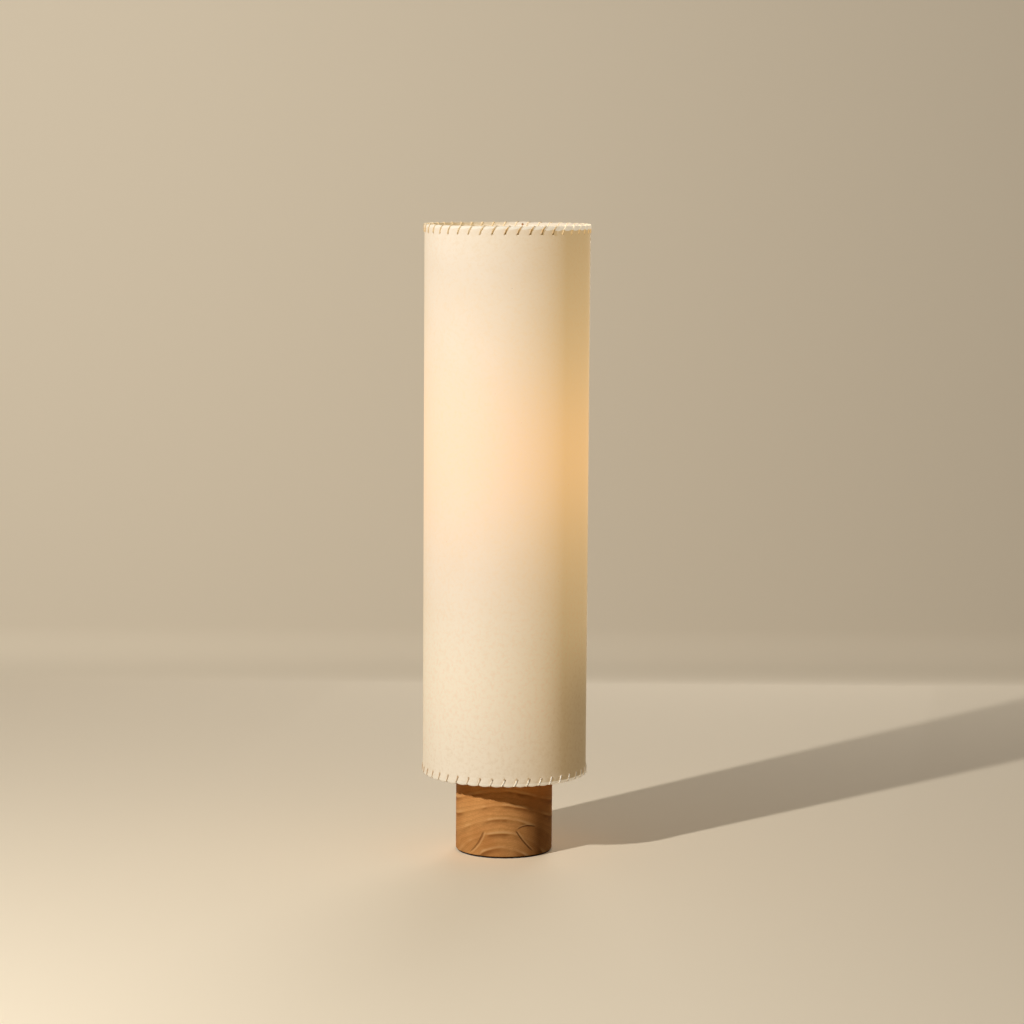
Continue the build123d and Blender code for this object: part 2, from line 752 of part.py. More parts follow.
with BuildPart() as harp_hub:
    with BuildSketch(Plane.XY.offset(harp_seat)):
        Circle(hub_dia / 2)
    extrude(amount=-hub_height)
    with BuildSketch(Plane.XY.offset(harp_seat)):
        Circle(stud_dia / 2)
    extrude(amount=stud_height)
    chamfer(harp_hub.edges().group_by(Axis.Z)[-1], length=stud_dia / 8)
    with BuildSketch(Plane.YZ):
        with Locations((0, wire_top)):
            Circle(harp_wire_dia / 2 + thread_gap)
    extrude(amount=hub_dia, both=True, mode=Mode.SUBTRACT)
harp_hub.part.label = "harp_hub"
export_step(harp_hub.part, "parts/harp_hub.step")

# A ferrule drops over each leg and the tongue beside it.
ferrule_x = (leg_x - harp_wire_dia / 2 + tongue_middle + saddle_thick / 2) / 2
ferrule_r = ferrule_bore_dia / 2 + ferrule_wall
with BuildPart() as ferrule_right:
    with BuildSketch(Plane.XY.offset(saddle_top)):
        with Locations((ferrule_x, 0)):
            Circle(ferrule_r)
    extrude(amount=ferrule_height)
    fillet(ferrule_right.edges().group_by(Axis.Z)[-1], radius=ferrule_wall * 0.9)
    with BuildSketch(Plane.XY.offset(saddle_top)):
        with Locations((ferrule_x, 0)):
            Circle(ferrule_bore_dia / 2)
    extrude(amount=ferrule_height, mode=Mode.SUBTRACT)
ferrule_right.part.label = "ferrule_right"
export_step(ferrule_right.part, "parts/ferrule_right.step")

with BuildPart() as ferrule_left:
    mirror(ferrule_right.part, about=Plane.YZ)
ferrule_left.part.label = "ferrule_left"
export_step(ferrule_left.part, "parts/ferrule_left.step")

# Shade frame: two rings and upright ribs, which stand just after a stitch hole.
skin_r = shade_dia / 2
skin_inner_r = skin_r - skin_wall
lace_r = lace_dia / 2
ring_wire_r = ring_wire_dia / 2
ring_r = skin_inner_r - wire_gap - ring_wire_r
rib_r = skin_inner_r - wire_gap - rib_wire_dia / 2
top_ring_level = skin_top - ring_wire_r
bottom_ring_level = skin_bottom + ring_wire_r
stitch_angle = 360 / stitch_count
stitch_pitch = 2 * pi * skin_r / stitch_count
rib_to_hole = degrees((rib_wire_dia / 2 + lace_r + wire_gap) / rib_r)
top_hole_angle = 270 + first_stitch
stitches_to_seam = round((top_hole_angle - seam_angle) / stitch_angle)
seam_hole_angle = top_hole_angle - stitches_to_seam * stitch_angle
first_rib = seam_hole_angle + rib_to_hole
bottom_hole_angle = first_rib + rib_to_hole

with BuildPart() as top_ring:
    with BuildSketch(Plane.XZ):
        with Locations((ring_r, top_ring_level)):
            Circle(ring_wire_r)
    revolve(axis=Axis.Z)
top_ring.part.label = "top_ring"
export_step(top_ring.part, "parts/top_ring.step")

with BuildPart() as bottom_ring:
    with BuildSketch(Plane.XZ):
        with Locations((ring_r, bottom_ring_level)):
            Circle(ring_wire_r)
    revolve(axis=Axis.Z)
bottom_ring.part.label = "bottom_ring"
export_step(bottom_ring.part, "parts/bottom_ring.step")

rib_foot = bottom_ring_level + ring_wire_r + wire_gap
rib_head = top_ring_level - ring_wire_r - wire_gap
with BuildPart() as frame_ribs:
    with BuildSketch(Plane.XY.offset(rib_foot)):
        with PolarLocations(rib_r, rib_count, start_angle=first_rib):
            Circle(rib_wire_dia / 2)
    extrude(amount=rib_head - rib_foot)
frame_ribs.part.label = "frame_ribs"
export_step(frame_ribs.part, "parts/frame_ribs.step")

with BuildPart() as hub_washer:
    with BuildSketch(Plane.XY.offset(harp_seat)):
        Circle(hub_washer_dia / 2)
        Circle(hub_washer_hole_dia / 2, mode=Mode.SUBTRACT)
    extrude(amount=hub_washer_thick)
hub_washer.part.label = "hub_washer"
export_step(hub_washer.part, "parts/hub_washer.step")

arm_start = hub_washer_dia / 2 + wire_gap
arm_end = rib_r - rib_wire_dia / 2 - wire_gap
arm_level = harp_seat + hub_washer_thick / 2
with BuildPart() as spider_arms:
    for number in range(rib_count):
        arm_angle = first_rib + number * 360 / rib_count
        outward = Vector(1, 0, 0).rotate(Axis.Z, arm_angle)
        with BuildSketch(Plane(origin=outward * arm_start + Vector(0, 0, arm_level), z_dir=outward)):
            Circle(ring_wire_r)
        extrude(amount=arm_end - arm_start)
spider_arms.part.label = "spider_arms"
export_step(spider_arms.part, "parts/spider_arms.step")

# The skin is one sheet round the frame. Its ends lap between two stitches beside a rib.
lap_start = seam_hole_angle - degrees((lap_to_stitch + lap_width) / skin_r)
lap_span = degrees(lap_width / skin_r)
with BuildPart() as shade_skin:
    with BuildSketch(Plane.XY.offset(skin_bottom)):
        Circle(skin_r)
        Circle(skin_inner_r, mode=Mode.SUBTRACT)
        with BuildLine():
            lap_inner = CenterArc((0, 0), skin_r - skin_wall / 2, lap_start, lap_span)
            lap_outer = CenterArc((0, 0), skin_r + skin_wall, lap_start, lap_span)
            Line(lap_inner @ 0, lap_outer @ 0)
            Line(lap_inner @ 1, lap_outer @ 1)
        make_face()
    extrude(amount=shade_height)
    with Locations((0, 0, skin_top - top_hole_drop)):
        with PolarLocations(skin_r, stitch_count, start_angle=top_hole_angle):
            Cylinder(lace_hole_dia / 2, 4 * skin_wall, rotation=(0, 90, 0), mode=Mode.SUBTRACT)
    with Locations((0, 0, skin_bottom + bottom_hole_rise)):
        with PolarLocations(skin_r, stitch_count, start_angle=bottom_hole_angle):
            Cylinder(lace_hole_dia / 2, 4 * skin_wall, rotation=(0, 90, 0), mode=Mode.SUBTRACT)
shade_skin.part.label = "shade_skin"
export_step(shade_skin.part, "parts/shade_skin.step")

# One stitch of lace leaves its hole, leans over the rim and comes back in at the next hole.
lace_out_r = skin_r + lace_gap + lace_r
lace_in_r = ring_r - ring_wire_r - lace_gap - lace_r
lace_mid_r = skin_r - skin_wall / 2
lace_turn_r = skin_inner_r - lace_dia * 0.75
lace_bend = lace_r + lace_gap / 3


def around(angle, arc_length, radius, level):
    turn = radians(angle) + arc_length / skin_r
    return (radius * cos(turn), radius * sin(turn), level)


def stitch_route(hole_angle, edge, way, hole_depth, lean, step):
    over = edge + way * (lace_gap + lace_r)
    hole = edge - way * hole_depth
    below_ring = edge - way * (ring_wire_dia + lace_gap + lace_r)
    sign = 1 if step > 0 else -1
    top_turn = sign * (lean + lace_dia * 0.6)
    inside_turn = top_turn + (step - top_turn) * 0.35
    return [
        around(hole_angle, 0, lace_mid_r + lace_end_gap, hole),
        around(hole_angle, 0, lace_out_r, hole),
        around(hole_angle, sign * lean, lace_out_r, over),
        around(hole_angle, top_turn, lace_in_r, over),
        around(hole_angle, inside_turn, lace_in_r, below_ring),
        around(hole_angle, step, lace_turn_r, hole),
        around(hole_angle, step, lace_mid_r - lace_end_gap, hole),
    ]


top_route = stitch_route(top_hole_angle, skin_top, 1, top_hole_drop, top_stitch_lean, stitch_pitch)
with BuildPart() as top_stitch:
    with BuildLine():
        top_path = FilletPolyline(*top_route, radius=lace_bend)
    with BuildSketch(Plane(origin=top_path @ 0, z_dir=top_path % 0)):
        Circle(lace_r)
    sweep()

with BuildPart() as top_lacing:
    with PolarLocations(0, stitch_count):
        add(top_stitch.part)
top_lacing.part.label = "top_lacing"
export_step(top_lacing.part, "parts/top_lacing.step")

bottom_route = stitch_route(
    bottom_hole_angle, skin_bottom, -1, bottom_hole_rise, bottom_stitch_lean, -stitch_pitch
)
with BuildPart() as bottom_stitch:
    with BuildLine():
        bottom_path = FilletPolyline(*bottom_route, radius=lace_bend)
    with BuildSketch(Plane(origin=bottom_path @ 0, z_dir=bottom_path % 0)):
        Circle(lace_r)
    sweep()

with BuildPart() as bottom_lacing:
    with PolarLocations(0, stitch_count):
        add(bottom_stitch.part)
bottom_lacing.part.label = "bottom_lacing"
export_step(bottom_lacing.part, "parts/bottom_lacing.step")

# The finial screws down on the stud and clamps the shade through a loose washer.
washer_seat = harp_seat + hub_washer_thick
finial_bottom = washer_seat + finial_washer_thick
finial_top = finial_bottom + finial_height
finial_bore_r = stud_dia / 2 + thread_gap
with BuildPart() as finial_washer:
    with BuildSketch(Plane.XY.offset(washer_seat)):
        Circle(finial_washer_dia / 2)
        Circle(hub_washer_hole_dia / 2, mode=Mode.SUBTRACT)
    extrude(amount=finial_washer_thick)
finial_washer.part.label = "finial_washer"
export_step(finial_washer.part, "parts/finial_washer.step")

with BuildPart() as finial:
    with BuildSketch(Plane.XZ):
        with Locations((0, finial_top - finial_dia / 2)):
            Circle(finial_dia / 2)
        with Locations((0, finial_bottom)):
            Rectangle(finial_foot_dia, finial_foot_height, align=(Align.CENTER, Align.MIN))
            Rectangle(finial_foot_dia * 0.7, finial_height / 2, align=(Align.CENTER, Align.MIN))
        with Locations((0, finial_bottom)):
            Rectangle(finial_dia, finial_height, align=(Align.MAX, Align.MIN), mode=Mode.SUBTRACT)
    revolve(axis=Axis.Z)
    with BuildSketch(Plane.XY.offset(finial_bottom)):
        Circle(finial_bore_r)
    stud_reach = harp_seat + stud_height - finial_bottom
    extrude(amount=stud_reach + finial_bore_spare, mode=Mode.SUBTRACT)
finial.part.label = "finial"
export_step(finial.part, "parts/finial.step")
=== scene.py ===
import math

import bmesh
import bpy
import numpy as np
from mathutils import Matrix


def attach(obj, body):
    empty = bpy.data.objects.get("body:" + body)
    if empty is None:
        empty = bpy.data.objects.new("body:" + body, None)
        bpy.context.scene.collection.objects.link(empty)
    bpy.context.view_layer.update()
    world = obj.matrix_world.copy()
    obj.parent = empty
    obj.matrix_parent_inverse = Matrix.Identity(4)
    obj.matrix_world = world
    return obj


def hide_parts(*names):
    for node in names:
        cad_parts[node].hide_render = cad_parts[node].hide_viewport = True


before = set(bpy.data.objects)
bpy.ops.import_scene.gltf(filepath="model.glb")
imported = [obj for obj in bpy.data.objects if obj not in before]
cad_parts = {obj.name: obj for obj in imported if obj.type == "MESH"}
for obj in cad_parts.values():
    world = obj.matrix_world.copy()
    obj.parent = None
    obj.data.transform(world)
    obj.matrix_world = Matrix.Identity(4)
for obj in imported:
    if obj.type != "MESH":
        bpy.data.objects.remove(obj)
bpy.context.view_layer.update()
mm = 0.001
black = (0.0, 0.0, 0.0, 1.0)
chance = np.random.default_rng(42)
print("frame loaded:", len(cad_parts), "nodes")

# Camera and room, in metres and degrees. The lamp stands at the origin and its front faces -Y.
cameraView = {
    "spot": (0.01152, -5.8793, 1.3217), "tiltDown": 6.654, "roll": 0.3626, "lens": 112.14,
    "sensor": 36.0, "seesTo": 60.0,
}
room = {
    "reach": 9.0, "wallAt": 1.95, "wallTop": 6.0, "wallGap": 0.0001, "bend": 0.12, "bendRows": 17,
    "paper": (250, 233, 204), "bounce": (104, 92, 77), "lift": (0.07, 0.055, 0.036, 1.0),
    "fade": (1.95, 3.2), "fadeMiddle": (0.0, 0.6, 0.0), "skyColour": (0.054, 0.052, 0.050, 1.0),
    "backdrop": (214, 198, 174),
}
lamps = {
    "key": {"azimuth": 227.0, "rise": 22.3, "away": 4.52, "size": 0.14, "watts": 171.0, "aim": 0.75},
    "rear": {"azimuth": 80.0, "rise": 14.0, "away": 5.0, "size": 2.6, "watts": 80.0, "aim": 0.6},
}


def tone(red, green, blue):
    # a colour written from 0 to 255, made linear for the shader
    parts = [c / 255 for c in (red, green, blue)]
    return tuple(c / 12.92 if c <= 0.04045 else ((c + 0.055) / 1.055) ** 2.4 for c in parts) + (1.0,)


def dimmed(colour, share):
    return [c * share for c in colour]


def operator(operation, swapped=False):
    # a Math node on a wire and a number or another wire
    def act(wire, other):
        return wire.tree.maths(operation, *((other, wire) if swapped else (wire, other)))

    return act


class Wire:
    # one output socket of a node tree; arithmetic on it adds Math nodes
    def __init__(self, tree, socket):
        self.tree = tree
        self.socket = socket

    __add__, __radd__ = operator("ADD"), operator("ADD", swapped=True)
    __sub__, __rsub__ = operator("SUBTRACT"), operator("SUBTRACT", swapped=True)
    __mul__, __rmul__ = operator("MULTIPLY"), operator("MULTIPLY", swapped=True)
    __truediv__, __rtruediv__ = operator("DIVIDE"), operator("DIVIDE", swapped=True)


class Shading:
    # a node tree, of a finish or of the world
    def __init__(self, tree):
        self.nodes = tree.nodes
        self.links = tree.links

    def feed(self, made, sockets):
        for key, value in sockets.items():
            if isinstance(value, Wire):
                self.links.new(value.socket, made.inputs[key])
            else:
                made.inputs[key].default_value = value

    def node(self, kind, settings=None, sockets=None, output=0):
        made = self.nodes.new("ShaderNode" + kind)
        for key, value in (settings or {}).items():
            setattr(made, key, value)
        self.feed(made, sockets or {})
        return Wire(self, made.outputs[output])

    def beside(self, wire, output):
        # another output of the node that the wire leaves
        return Wire(self, wire.socket.node.outputs[output])

    def maths(self, operation, *values):
        return self.node("Math", {"operation": operation}, dict(enumerate(values)))

    def distance(self, a, b):
        return self.maths("SQRT", a * a + b * b)

    def eyeRay(self):
        # one where a ray comes from the camera, off a mirror or through glass, and nought elsewhere
        seen = self.node("LightPath")
        kinds = ("Camera", "Glossy", "Transmission")
        eye, mirror, glass = (self.beside(seen, f"Is {kind} Ray") for kind in kinds)
        return self.maths("MAXIMUM", self.maths("MAXIMUM", eye, mirror), glass)

    def place(self, stretch=(1.0, 1.0, 1.0), shift=(0.0, 0.0, 0.0)):
        # the object's own coordinates, moved and stretched
        point = self.node("TexCoord", output=3)
        return self.node("Mapping", {}, {0: point, 1: shift, 3: stretch})

    def along(self, stretch=(1.0, 1.0, 1.0)):
        # the piece's own UV map, which is in metres
        point = self.node("TexCoord", output=2)
        return self.node("Mapping", {}, {0: point, 3: stretch})

    def parts(self, vector):
        first = self.node("SeparateXYZ", {}, {0: vector})
        return [self.beside(first, axis) for axis in "XYZ"]

    def noise(self, scale, detail=3.0, rough=0.55, stretch=(1, 1, 1), shift=(0, 0, 0), vector=None):
        vector = vector or self.place(stretch, shift)
        sockets = {"Vector": vector, "Scale": scale, "Detail": detail, "Roughness": rough}
        return self.node("TexNoise", {}, sockets)

    def noises(self, table):
        # each row has the scale, detail, roughness, stretch and shift of one noise
        return [self.noise(*row) for row in table.values()]

    def ease(self, value, low, high, start=0.0, end=1.0):
        # a smooth step from start to end while value goes from low to high
        sockets = {0: value, 1: low, 2: high, 3: start, 4: end}
        return self.node("MapRange", {"interpolation_type": "SMOOTHSTEP"}, sockets)

    def blend(self, share, first, second, kind="MIX"):
        settings = {"data_type": "RGBA", "blend_type": kind}
        return self.node("Mix", settings, {0: share, 6: first, 7: second}, output=2)

    def layered(self, first, layers):
        # each layer is a share and a colour, laid over the ones before it
        base = tone(*first)
        for share, colour in layers:
            base = self.blend(share, base, tone(*colour))
        return base

    def bump(self, height, strength, distance):
        return self.node("Bump", {}, {"Height": height, "Strength": strength, "Distance": distance})


class Finish(Shading):
    # one material round the Principled shader
    def __init__(self, name, sockets):
        self.material = bpy.data.materials.new(name)
        self.material.use_nodes = True
        super().__init__(self.material.node_tree)
        self.shader = self.nodes["Principled BSDF"]
        self.feed(self.shader, sockets)

    def paint(self, **sockets):
        # what varies over the surface
        names = {"base": "Base Color", "rough": "Roughness", "glow": "Emission Color", "normal": "Normal"}
        self.feed(self.shader, {names[key]: value for key, value in sockets.items()})
        return self


def aimed(azimuth, rise, away, aim):
    # a place away from the lamp's axis in that direction, turned to look at the axis at height aim
    a, r = math.radians(azimuth), math.radians(rise)
    out = Matrix.Rotation(a, 4, "Z") @ Matrix.Rotation(math.pi / 2 - r, 4, "Y")
    return Matrix.Translation((0, 0, aim)) @ out @ Matrix.Translation((0, 0, away))


def addObject(name, data):
    made = bpy.data.objects.new(name, data)
    bpy.context.scene.collection.objects.link(made)
    return made


def setCamera():
    camera = addObject("photoCamera", bpy.data.cameras.new("photoCamera"))
    camera.data.lens = cameraView["lens"]
    camera.data.sensor_width = cameraView["sensor"]
    camera.data.clip_end = cameraView["seesTo"]
    lean = math.radians(90.0 - cameraView["tiltDown"])
    roll = math.radians(cameraView["roll"])
    turn = Matrix.Rotation(lean, 4, "X") @ Matrix.Rotation(roll, 4, "Z")
    camera.matrix_world = Matrix.Translation(cameraView["spot"]) @ turn
    bpy.context.scene.camera = camera
    bpy.context.scene.view_settings.view_transform = "Standard"


def setLight():
    for name, lamp in lamps.items():
        light = addObject(name, bpy.data.lights.new(name, "AREA"))
        light.data.shape = "DISK"
        light.data.size = lamp["size"]
        light.data.energy = lamp["watts"]
        light.matrix_world = aimed(lamp["azimuth"], lamp["rise"], lamp["away"], lamp["aim"])
    # the camera, mirrors and glass see the pale backdrop, and everything else gets a weak even light
    world = bpy.data.worlds.new("studio")
    world.use_nodes = True
    sky = Shading(world.node_tree)
    colour = sky.blend(sky.eyeRay(), room["skyColour"], tone(*room["backdrop"]))
    sky.feed(sky.nodes["Background"], {"Color": colour})
    bpy.context.scene.world = world


def paperFinish():
    # paler to the eye than to the light it throws back; it fades out far from the lamp, and the wall
    # can be seen through from behind
    made = Finish("studioPaper", {"Roughness": 0.95, "Emission Strength": 1.0})
    direct = made.eyeRay()
    made.paint(
        base=made.blend(direct, tone(*room["bounce"]), tone(*room["paper"])),
        glow=made.blend(direct, black, room["lift"]),
    )
    x, y, z = made.parts(made.place(shift=tuple(-c for c in room["fadeMiddle"])))
    far = made.ease(made.distance(x, y), *room["fade"])
    behind = made.node("NewGeometry", output=6)
    front = Wire(made, made.shader.outputs[0])
    clear = made.node("BsdfTransparent")
    both = made.node("MixShader", {}, {0: made.maths("MAXIMUM", far, behind), 1: front, 2: clear})
    made.feed(made.nodes["Material Output"], {"Surface": both})
    return made


def setBackdrop():
    # the floor is flat, and the wall's profile (depth, height) curves up from it through a quarter circle
    paper = paperFinish()
    bend = np.linspace(0, math.pi / 2, room["bendRows"])
    wallDepth = room["wallAt"] - room["bend"] * (1 - np.sin(bend))
    wallHeight = room["bend"] * (1 - np.cos(bend)) + room["wallGap"]
    runs = {
        "studioFloor": (np.array([-room["reach"], room["reach"]]), np.zeros(2)),
        "studioWall": (np.append(wallDepth, room["wallAt"]), np.append(wallHeight, room["wallTop"])),
    }
    side = np.array([-1.0, 1.0]) * room["reach"]
    for name, (depth, height) in runs.items():
        sheet = addObject(name, gridMesh(name, joined(side[None, :], depth[:, None], height[:, None])))
        sheet.visible_shadow = name == "studioFloor"
        sheet.data.materials.append(paper.material)


weldWithin = 1e-7
sharpFrom = 35.0


def gridMesh(name, points, closeRows=False, closeColumns=False, lengths=None, keep=None, sharp=sharpFrom):
    # points is a grid of rows and columns; each four neighbours make a face, and lengths gives the UV map.
    # A shell whose columns close has its faces turned out.
    rows, columns = points.shape[:2]
    index = np.arange(rows * columns).reshape(rows, columns)
    index = np.vstack([index, index[:1]]) if closeRows else index
    index = np.hstack([index, index[:, :1]]) if closeColumns else index
    quads = np.stack([index[:-1, :-1], index[:-1, 1:], index[1:, 1:], index[1:, :-1]], axis=-1)
    quads = quads.reshape(-1, 4)
    kept = np.ones(len(quads), bool) if keep is None else keep.ravel()
    mesh = bpy.data.meshes.new(name)
    mesh.from_pydata(points.reshape(-1, 3).tolist(), [], quads[kept].tolist())
    if lengths is not None:
        corners = [lengths[:-1, :-1], lengths[:-1, 1:], lengths[1:, 1:], lengths[1:, :-1]]
        flat = np.stack(corners, axis=2).reshape(-1, 4, 2)[kept]
        mesh.uv_layers.new(name="metres").data.foreach_set("uv", flat.astype(np.float32).ravel())
    shell = bmesh.new()
    shell.from_mesh(mesh)
    bmesh.ops.remove_doubles(shell, verts=shell.verts, dist=weldWithin)
    bmesh.ops.delete(shell, geom=[v for v in shell.verts if not v.link_faces], context="VERTS")
    if closeColumns:
        bmesh.ops.recalc_face_normals(shell, faces=shell.faces)
    shell.to_mesh(mesh)
    shell.free()
    mesh.shade_smooth()
    mesh.set_sharp_from_angle(angle=math.radians(sharp))
    return mesh


def joined(*sides):
    # one array of points from their coordinates
    return np.stack(np.broadcast_arrays(*sides), axis=-1)


def unit(vectors):
    # rows of vectors, each made one long
    return vectors / np.maximum(np.linalg.norm(vectors, axis=1, keepdims=True), 1e-9)


def roundAxis(radius, angle, height):
    # points at that radius, angle and height about the Z axis
    return joined(radius * np.cos(angle), radius * np.sin(angle), height)


def rounded(corners, cuts, steps):
    # each corner becomes a parabola between the points that lie its cut away on both sides
    corners = np.asarray(corners, float)
    cuts = np.broadcast_to(np.asarray(cuts, float), len(corners))[:, None, None]
    before = unit(np.vstack([corners[:1], corners[:-1]]) - corners)
    after = unit(np.vstack([corners[1:], corners[-1:]]) - corners)
    t = np.linspace(0, 1, steps)[None, :, None]
    curve = corners[:, None] + cuts * ((1 - t) ** 2 * before[:, None] + t**2 * after[:, None])
    return curve.reshape(-1, corners.shape[1])


def turned(name, corners, cuts=0.0, segments=96, closed=False, steps=4):
    # the profile (radius, height) in millimetres, with rounded corners, carried round the Z axis
    profile = rounded(corners, cuts, steps)
    angle = np.linspace(0, 2 * math.pi, segments, endpoint=False)
    points = roundAxis(profile[:, :1], angle, profile[:, 1:]) * mm
    return gridMesh(name, points, closeRows=closed, closeColumns=True)


def swept(name, path, up, section, widths=1.0, sharp=60.0):
    # section (across, outward) is carried round the closed path; outward is up made square to the path
    ahead = unit(np.roll(path, -1, axis=0) - np.roll(path, 1, axis=0))
    out = unit(up - ahead * np.sum(up * ahead, axis=1, keepdims=True))
    across = np.cross(ahead, out)
    size = np.broadcast_to(widths, len(path))[:, None, None]
    offset = section[None, :, :1] * across[:, None] + section[None, :, 1:] * out[:, None]
    points = path[:, None] + size * offset
    # the UV map runs in metres along the path and round the section
    run = np.concatenate([[0], np.cumsum(np.linalg.norm(np.diff(path, axis=0), axis=1))]) * mm
    run = np.append(run, run[-1] + run[1])
    girth = np.linspace(0, 2 * math.pi, len(section) + 1) * section[:, 0].max() * mm
    lengths = np.stack(np.meshgrid(run, girth, indexing="ij"), axis=-1)
    return gridMesh(name, points * mm, closeRows=True, closeColumns=True, lengths=lengths, sharp=sharp)


def ovalSection(halfWidth, halfThick, count=12, power=0.7):
    # a rounded oblong: cosine and sine raised to a power below one, which squares the oval up
    t = np.linspace(0, 2 * math.pi, count, endpoint=False)
    across = halfWidth * np.sign(np.cos(t)) * np.abs(np.cos(t)) ** power
    out = halfThick * np.sign(np.sin(t)) * np.abs(np.sin(t)) ** power
    return joined(across, out)


def addPiece(name, mesh, finish, body, nodes=()):
    piece = addObject(name, mesh)
    mesh.materials.append(finish.material)
    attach(piece, body)
    if nodes:
        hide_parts(*nodes)
    return piece


setCamera()
setLight()
setBackdrop()
print("camera, lamps and backdrop set")

# Finishes that several pieces share: colour, second colour, roughness and the scale of the grain.
# Colours are written from 0 to 255, and the second is that of worn or clouded places.
metals = {
    "zincSteel": ((186, 188, 190), (150, 152, 150), 0.34, 420.0),
    "steelPlate": ((158, 160, 162), (128, 128, 126), 0.42, 300.0),
    "castIron": ((74, 72, 70), (98, 84, 72), 0.62, 180.0),
    "agedBrass": ((198, 168, 112), (152, 122, 78), 0.34, 420.0),
    "contactBrass": ((212, 176, 98), (180, 140, 70), 0.28, 500.0),
    "thinAluminium": ((206, 207, 208), (176, 176, 174), 0.3, 500.0),
    "bulbNickel": ((198, 196, 190), (160, 156, 148), 0.24, 520.0),
}
metalWear = {"cloud": (0.38, 0.66), "speck": (0.62, 0.8, 0.0, 0.35), "dim": 0.7, "bump": (0.25, 0.0002)}
plastics = {
    "blackPlastic": ((34, 33, 32), (46, 44, 42), 0.42, 700.0),
    "whitePlastic": ((232, 230, 224), (222, 218, 208), 0.38, 600.0),
    "darkResin": ((58, 34, 24), (76, 46, 30), 0.33, 420.0),
    "boardWhite": ((236, 238, 236), (224, 228, 224), 0.3, 500.0),
    "chipYellow": ((240, 206, 70), (226, 188, 52), 0.3, 900.0),
    "blackGlass": ((18, 18, 22), (30, 30, 36), 0.12, 300.0),
    "leadBrown": ((96, 54, 30), (110, 64, 36), 0.4, 500.0),
    "leadBlue": ((44, 84, 140), (54, 96, 152), 0.4, 500.0),
    "linerPaper": ((196, 172, 132), (170, 144, 104), 0.8, 260.0),
    "frameWhite": ((236, 230, 216), (212, 200, 176), 0.36, 220.0),
}
plasticWear = {"cloud": (0.35, 0.7), "speck": (0.7, 0.78, 0.0, 0.4), "dim": 0.75, "bump": (0.2, 0.0002)}


def metalFinish(name, colour, second, rough, grain):
    # a plated or cast metal: cloudy wear in its colour and gloss, and fine grain in its surface
    made = Finish(name, {"Metallic": 1.0})
    cloud = made.ease(made.noise(grain / 9, 4.0, 0.6), *metalWear["cloud"])
    fine = made.noise(grain * 4, 3.0, 0.6, stretch=(1.0, 1.0, 3.0))
    speck = made.ease(fine, *metalWear["speck"])
    base = made.layered(colour, [(cloud * 0.7, second), (speck, dimmed(second, metalWear["dim"]))])
    gloss = rough + cloud * 0.14 + (fine - 0.5) * 0.12
    return made.paint(base=base, rough=gloss, normal=made.bump(fine, *metalWear["bump"]))


def plasticFinish(name, colour, second, rough, grain):
    # a moulded or painted surface: faint clouds of a second colour and a fine orange peel
    made = Finish(name, {"Metallic": 0.0, "Specular IOR Level": 0.5})
    cloud = made.ease(made.noise(grain / 14, 3.0, 0.5), *plasticWear["cloud"])
    peel = made.noise(grain * 1.6, 2.0, 0.5)
    speck = made.ease(made.noise(grain * 3.2, 1.0, 0.5), *plasticWear["speck"])
    base = made.layered(colour, [(cloud, second), (speck, dimmed(second, plasticWear["dim"]))])
    normal = made.bump(peel, *plasticWear["bump"])
    return made.paint(base=base, rough=rough + peel * 0.12, normal=normal)


finishes = {name: metalFinish(name, *row) for name, row in metals.items()}
finishes.update({name: plasticFinish(name, *row) for name, row in plastics.items()})
print("shared finishes made:", len(finishes))

# Base block: wood turned round, its grain running front to back so that the rings show as arcs.
# Lengths are in millimetres; a check is a drying crack: across = a + b * along + c * along squared.
wood = {
    "specular": 0.1, "ringAxis": (-2.0, -42.0), "firstRing": 63.0, "ringStep": 26.0, "sway": 15.0,
    "waver": 2.0, "fineStep": 8.3, "hairStep": 2.7, "light": (232, 167, 98), "middle": (209, 141, 76),
    "deep": (182, 116, 55), "dark": (142, 84, 34), "pale": (234, 180, 116), "check": (92, 50, 20),
    "bump": (0.4, 0.0005),
}
woodNoise = {
    "sway": (9.0, 2.0, 0.45, (1, 0.3, 1)),
    "waver": (34.0, 2.0, 0.5, (1, 0.2, 1), (0.3, 0.1, 0.7)),
    "patch": (24.0, 2.0, 0.5, (1, 0.4, 1), (1.7, 0.0, 0.4)),
    "cloud": (13.0, 3.0, 0.55, (1, 0.5, 1), (0.2, 0.5, 0.1)),
    "stipple": (620.0, 3.0, 0.7),
    "pore": (1150.0, 2.0, 0.6, (1, 0.14, 1)),
}
# where each band of a ring comes in and goes out again, as shares of the ring
ringBands = {
    "late": ((0.58, 0.93), (1.0, 0.94)),
    "early": ((0.0, 0.05), (0.24, 0.07)),
    "faint": ((0.25, 0.9), (1.0, 0.88)),
    "hair": ((0.3, 0.8), (1.0, 0.85)),
}
checks = [
    {"over": "z", "curve": (-69.6, 1.036, -0.00807), "ends": (5.0, 51.0), "half": 1.7, "depth": 0.6},
    {"over": "z", "curve": (63.9, -0.991, 0.00379), "ends": (9.0, 53.5), "half": 1.5, "depth": 0.95},
    {"over": "x", "curve": (31.6, 1.308, -0.0151), "ends": (21.5, 60.0), "half": 1.2, "depth": 0.85},
]
checkShape = {"wander": 3.0, "tapers": (9.0, 5.0), "outer": 1.6, "inner": 0.3, "lip": 2.3, "front": -20.0}


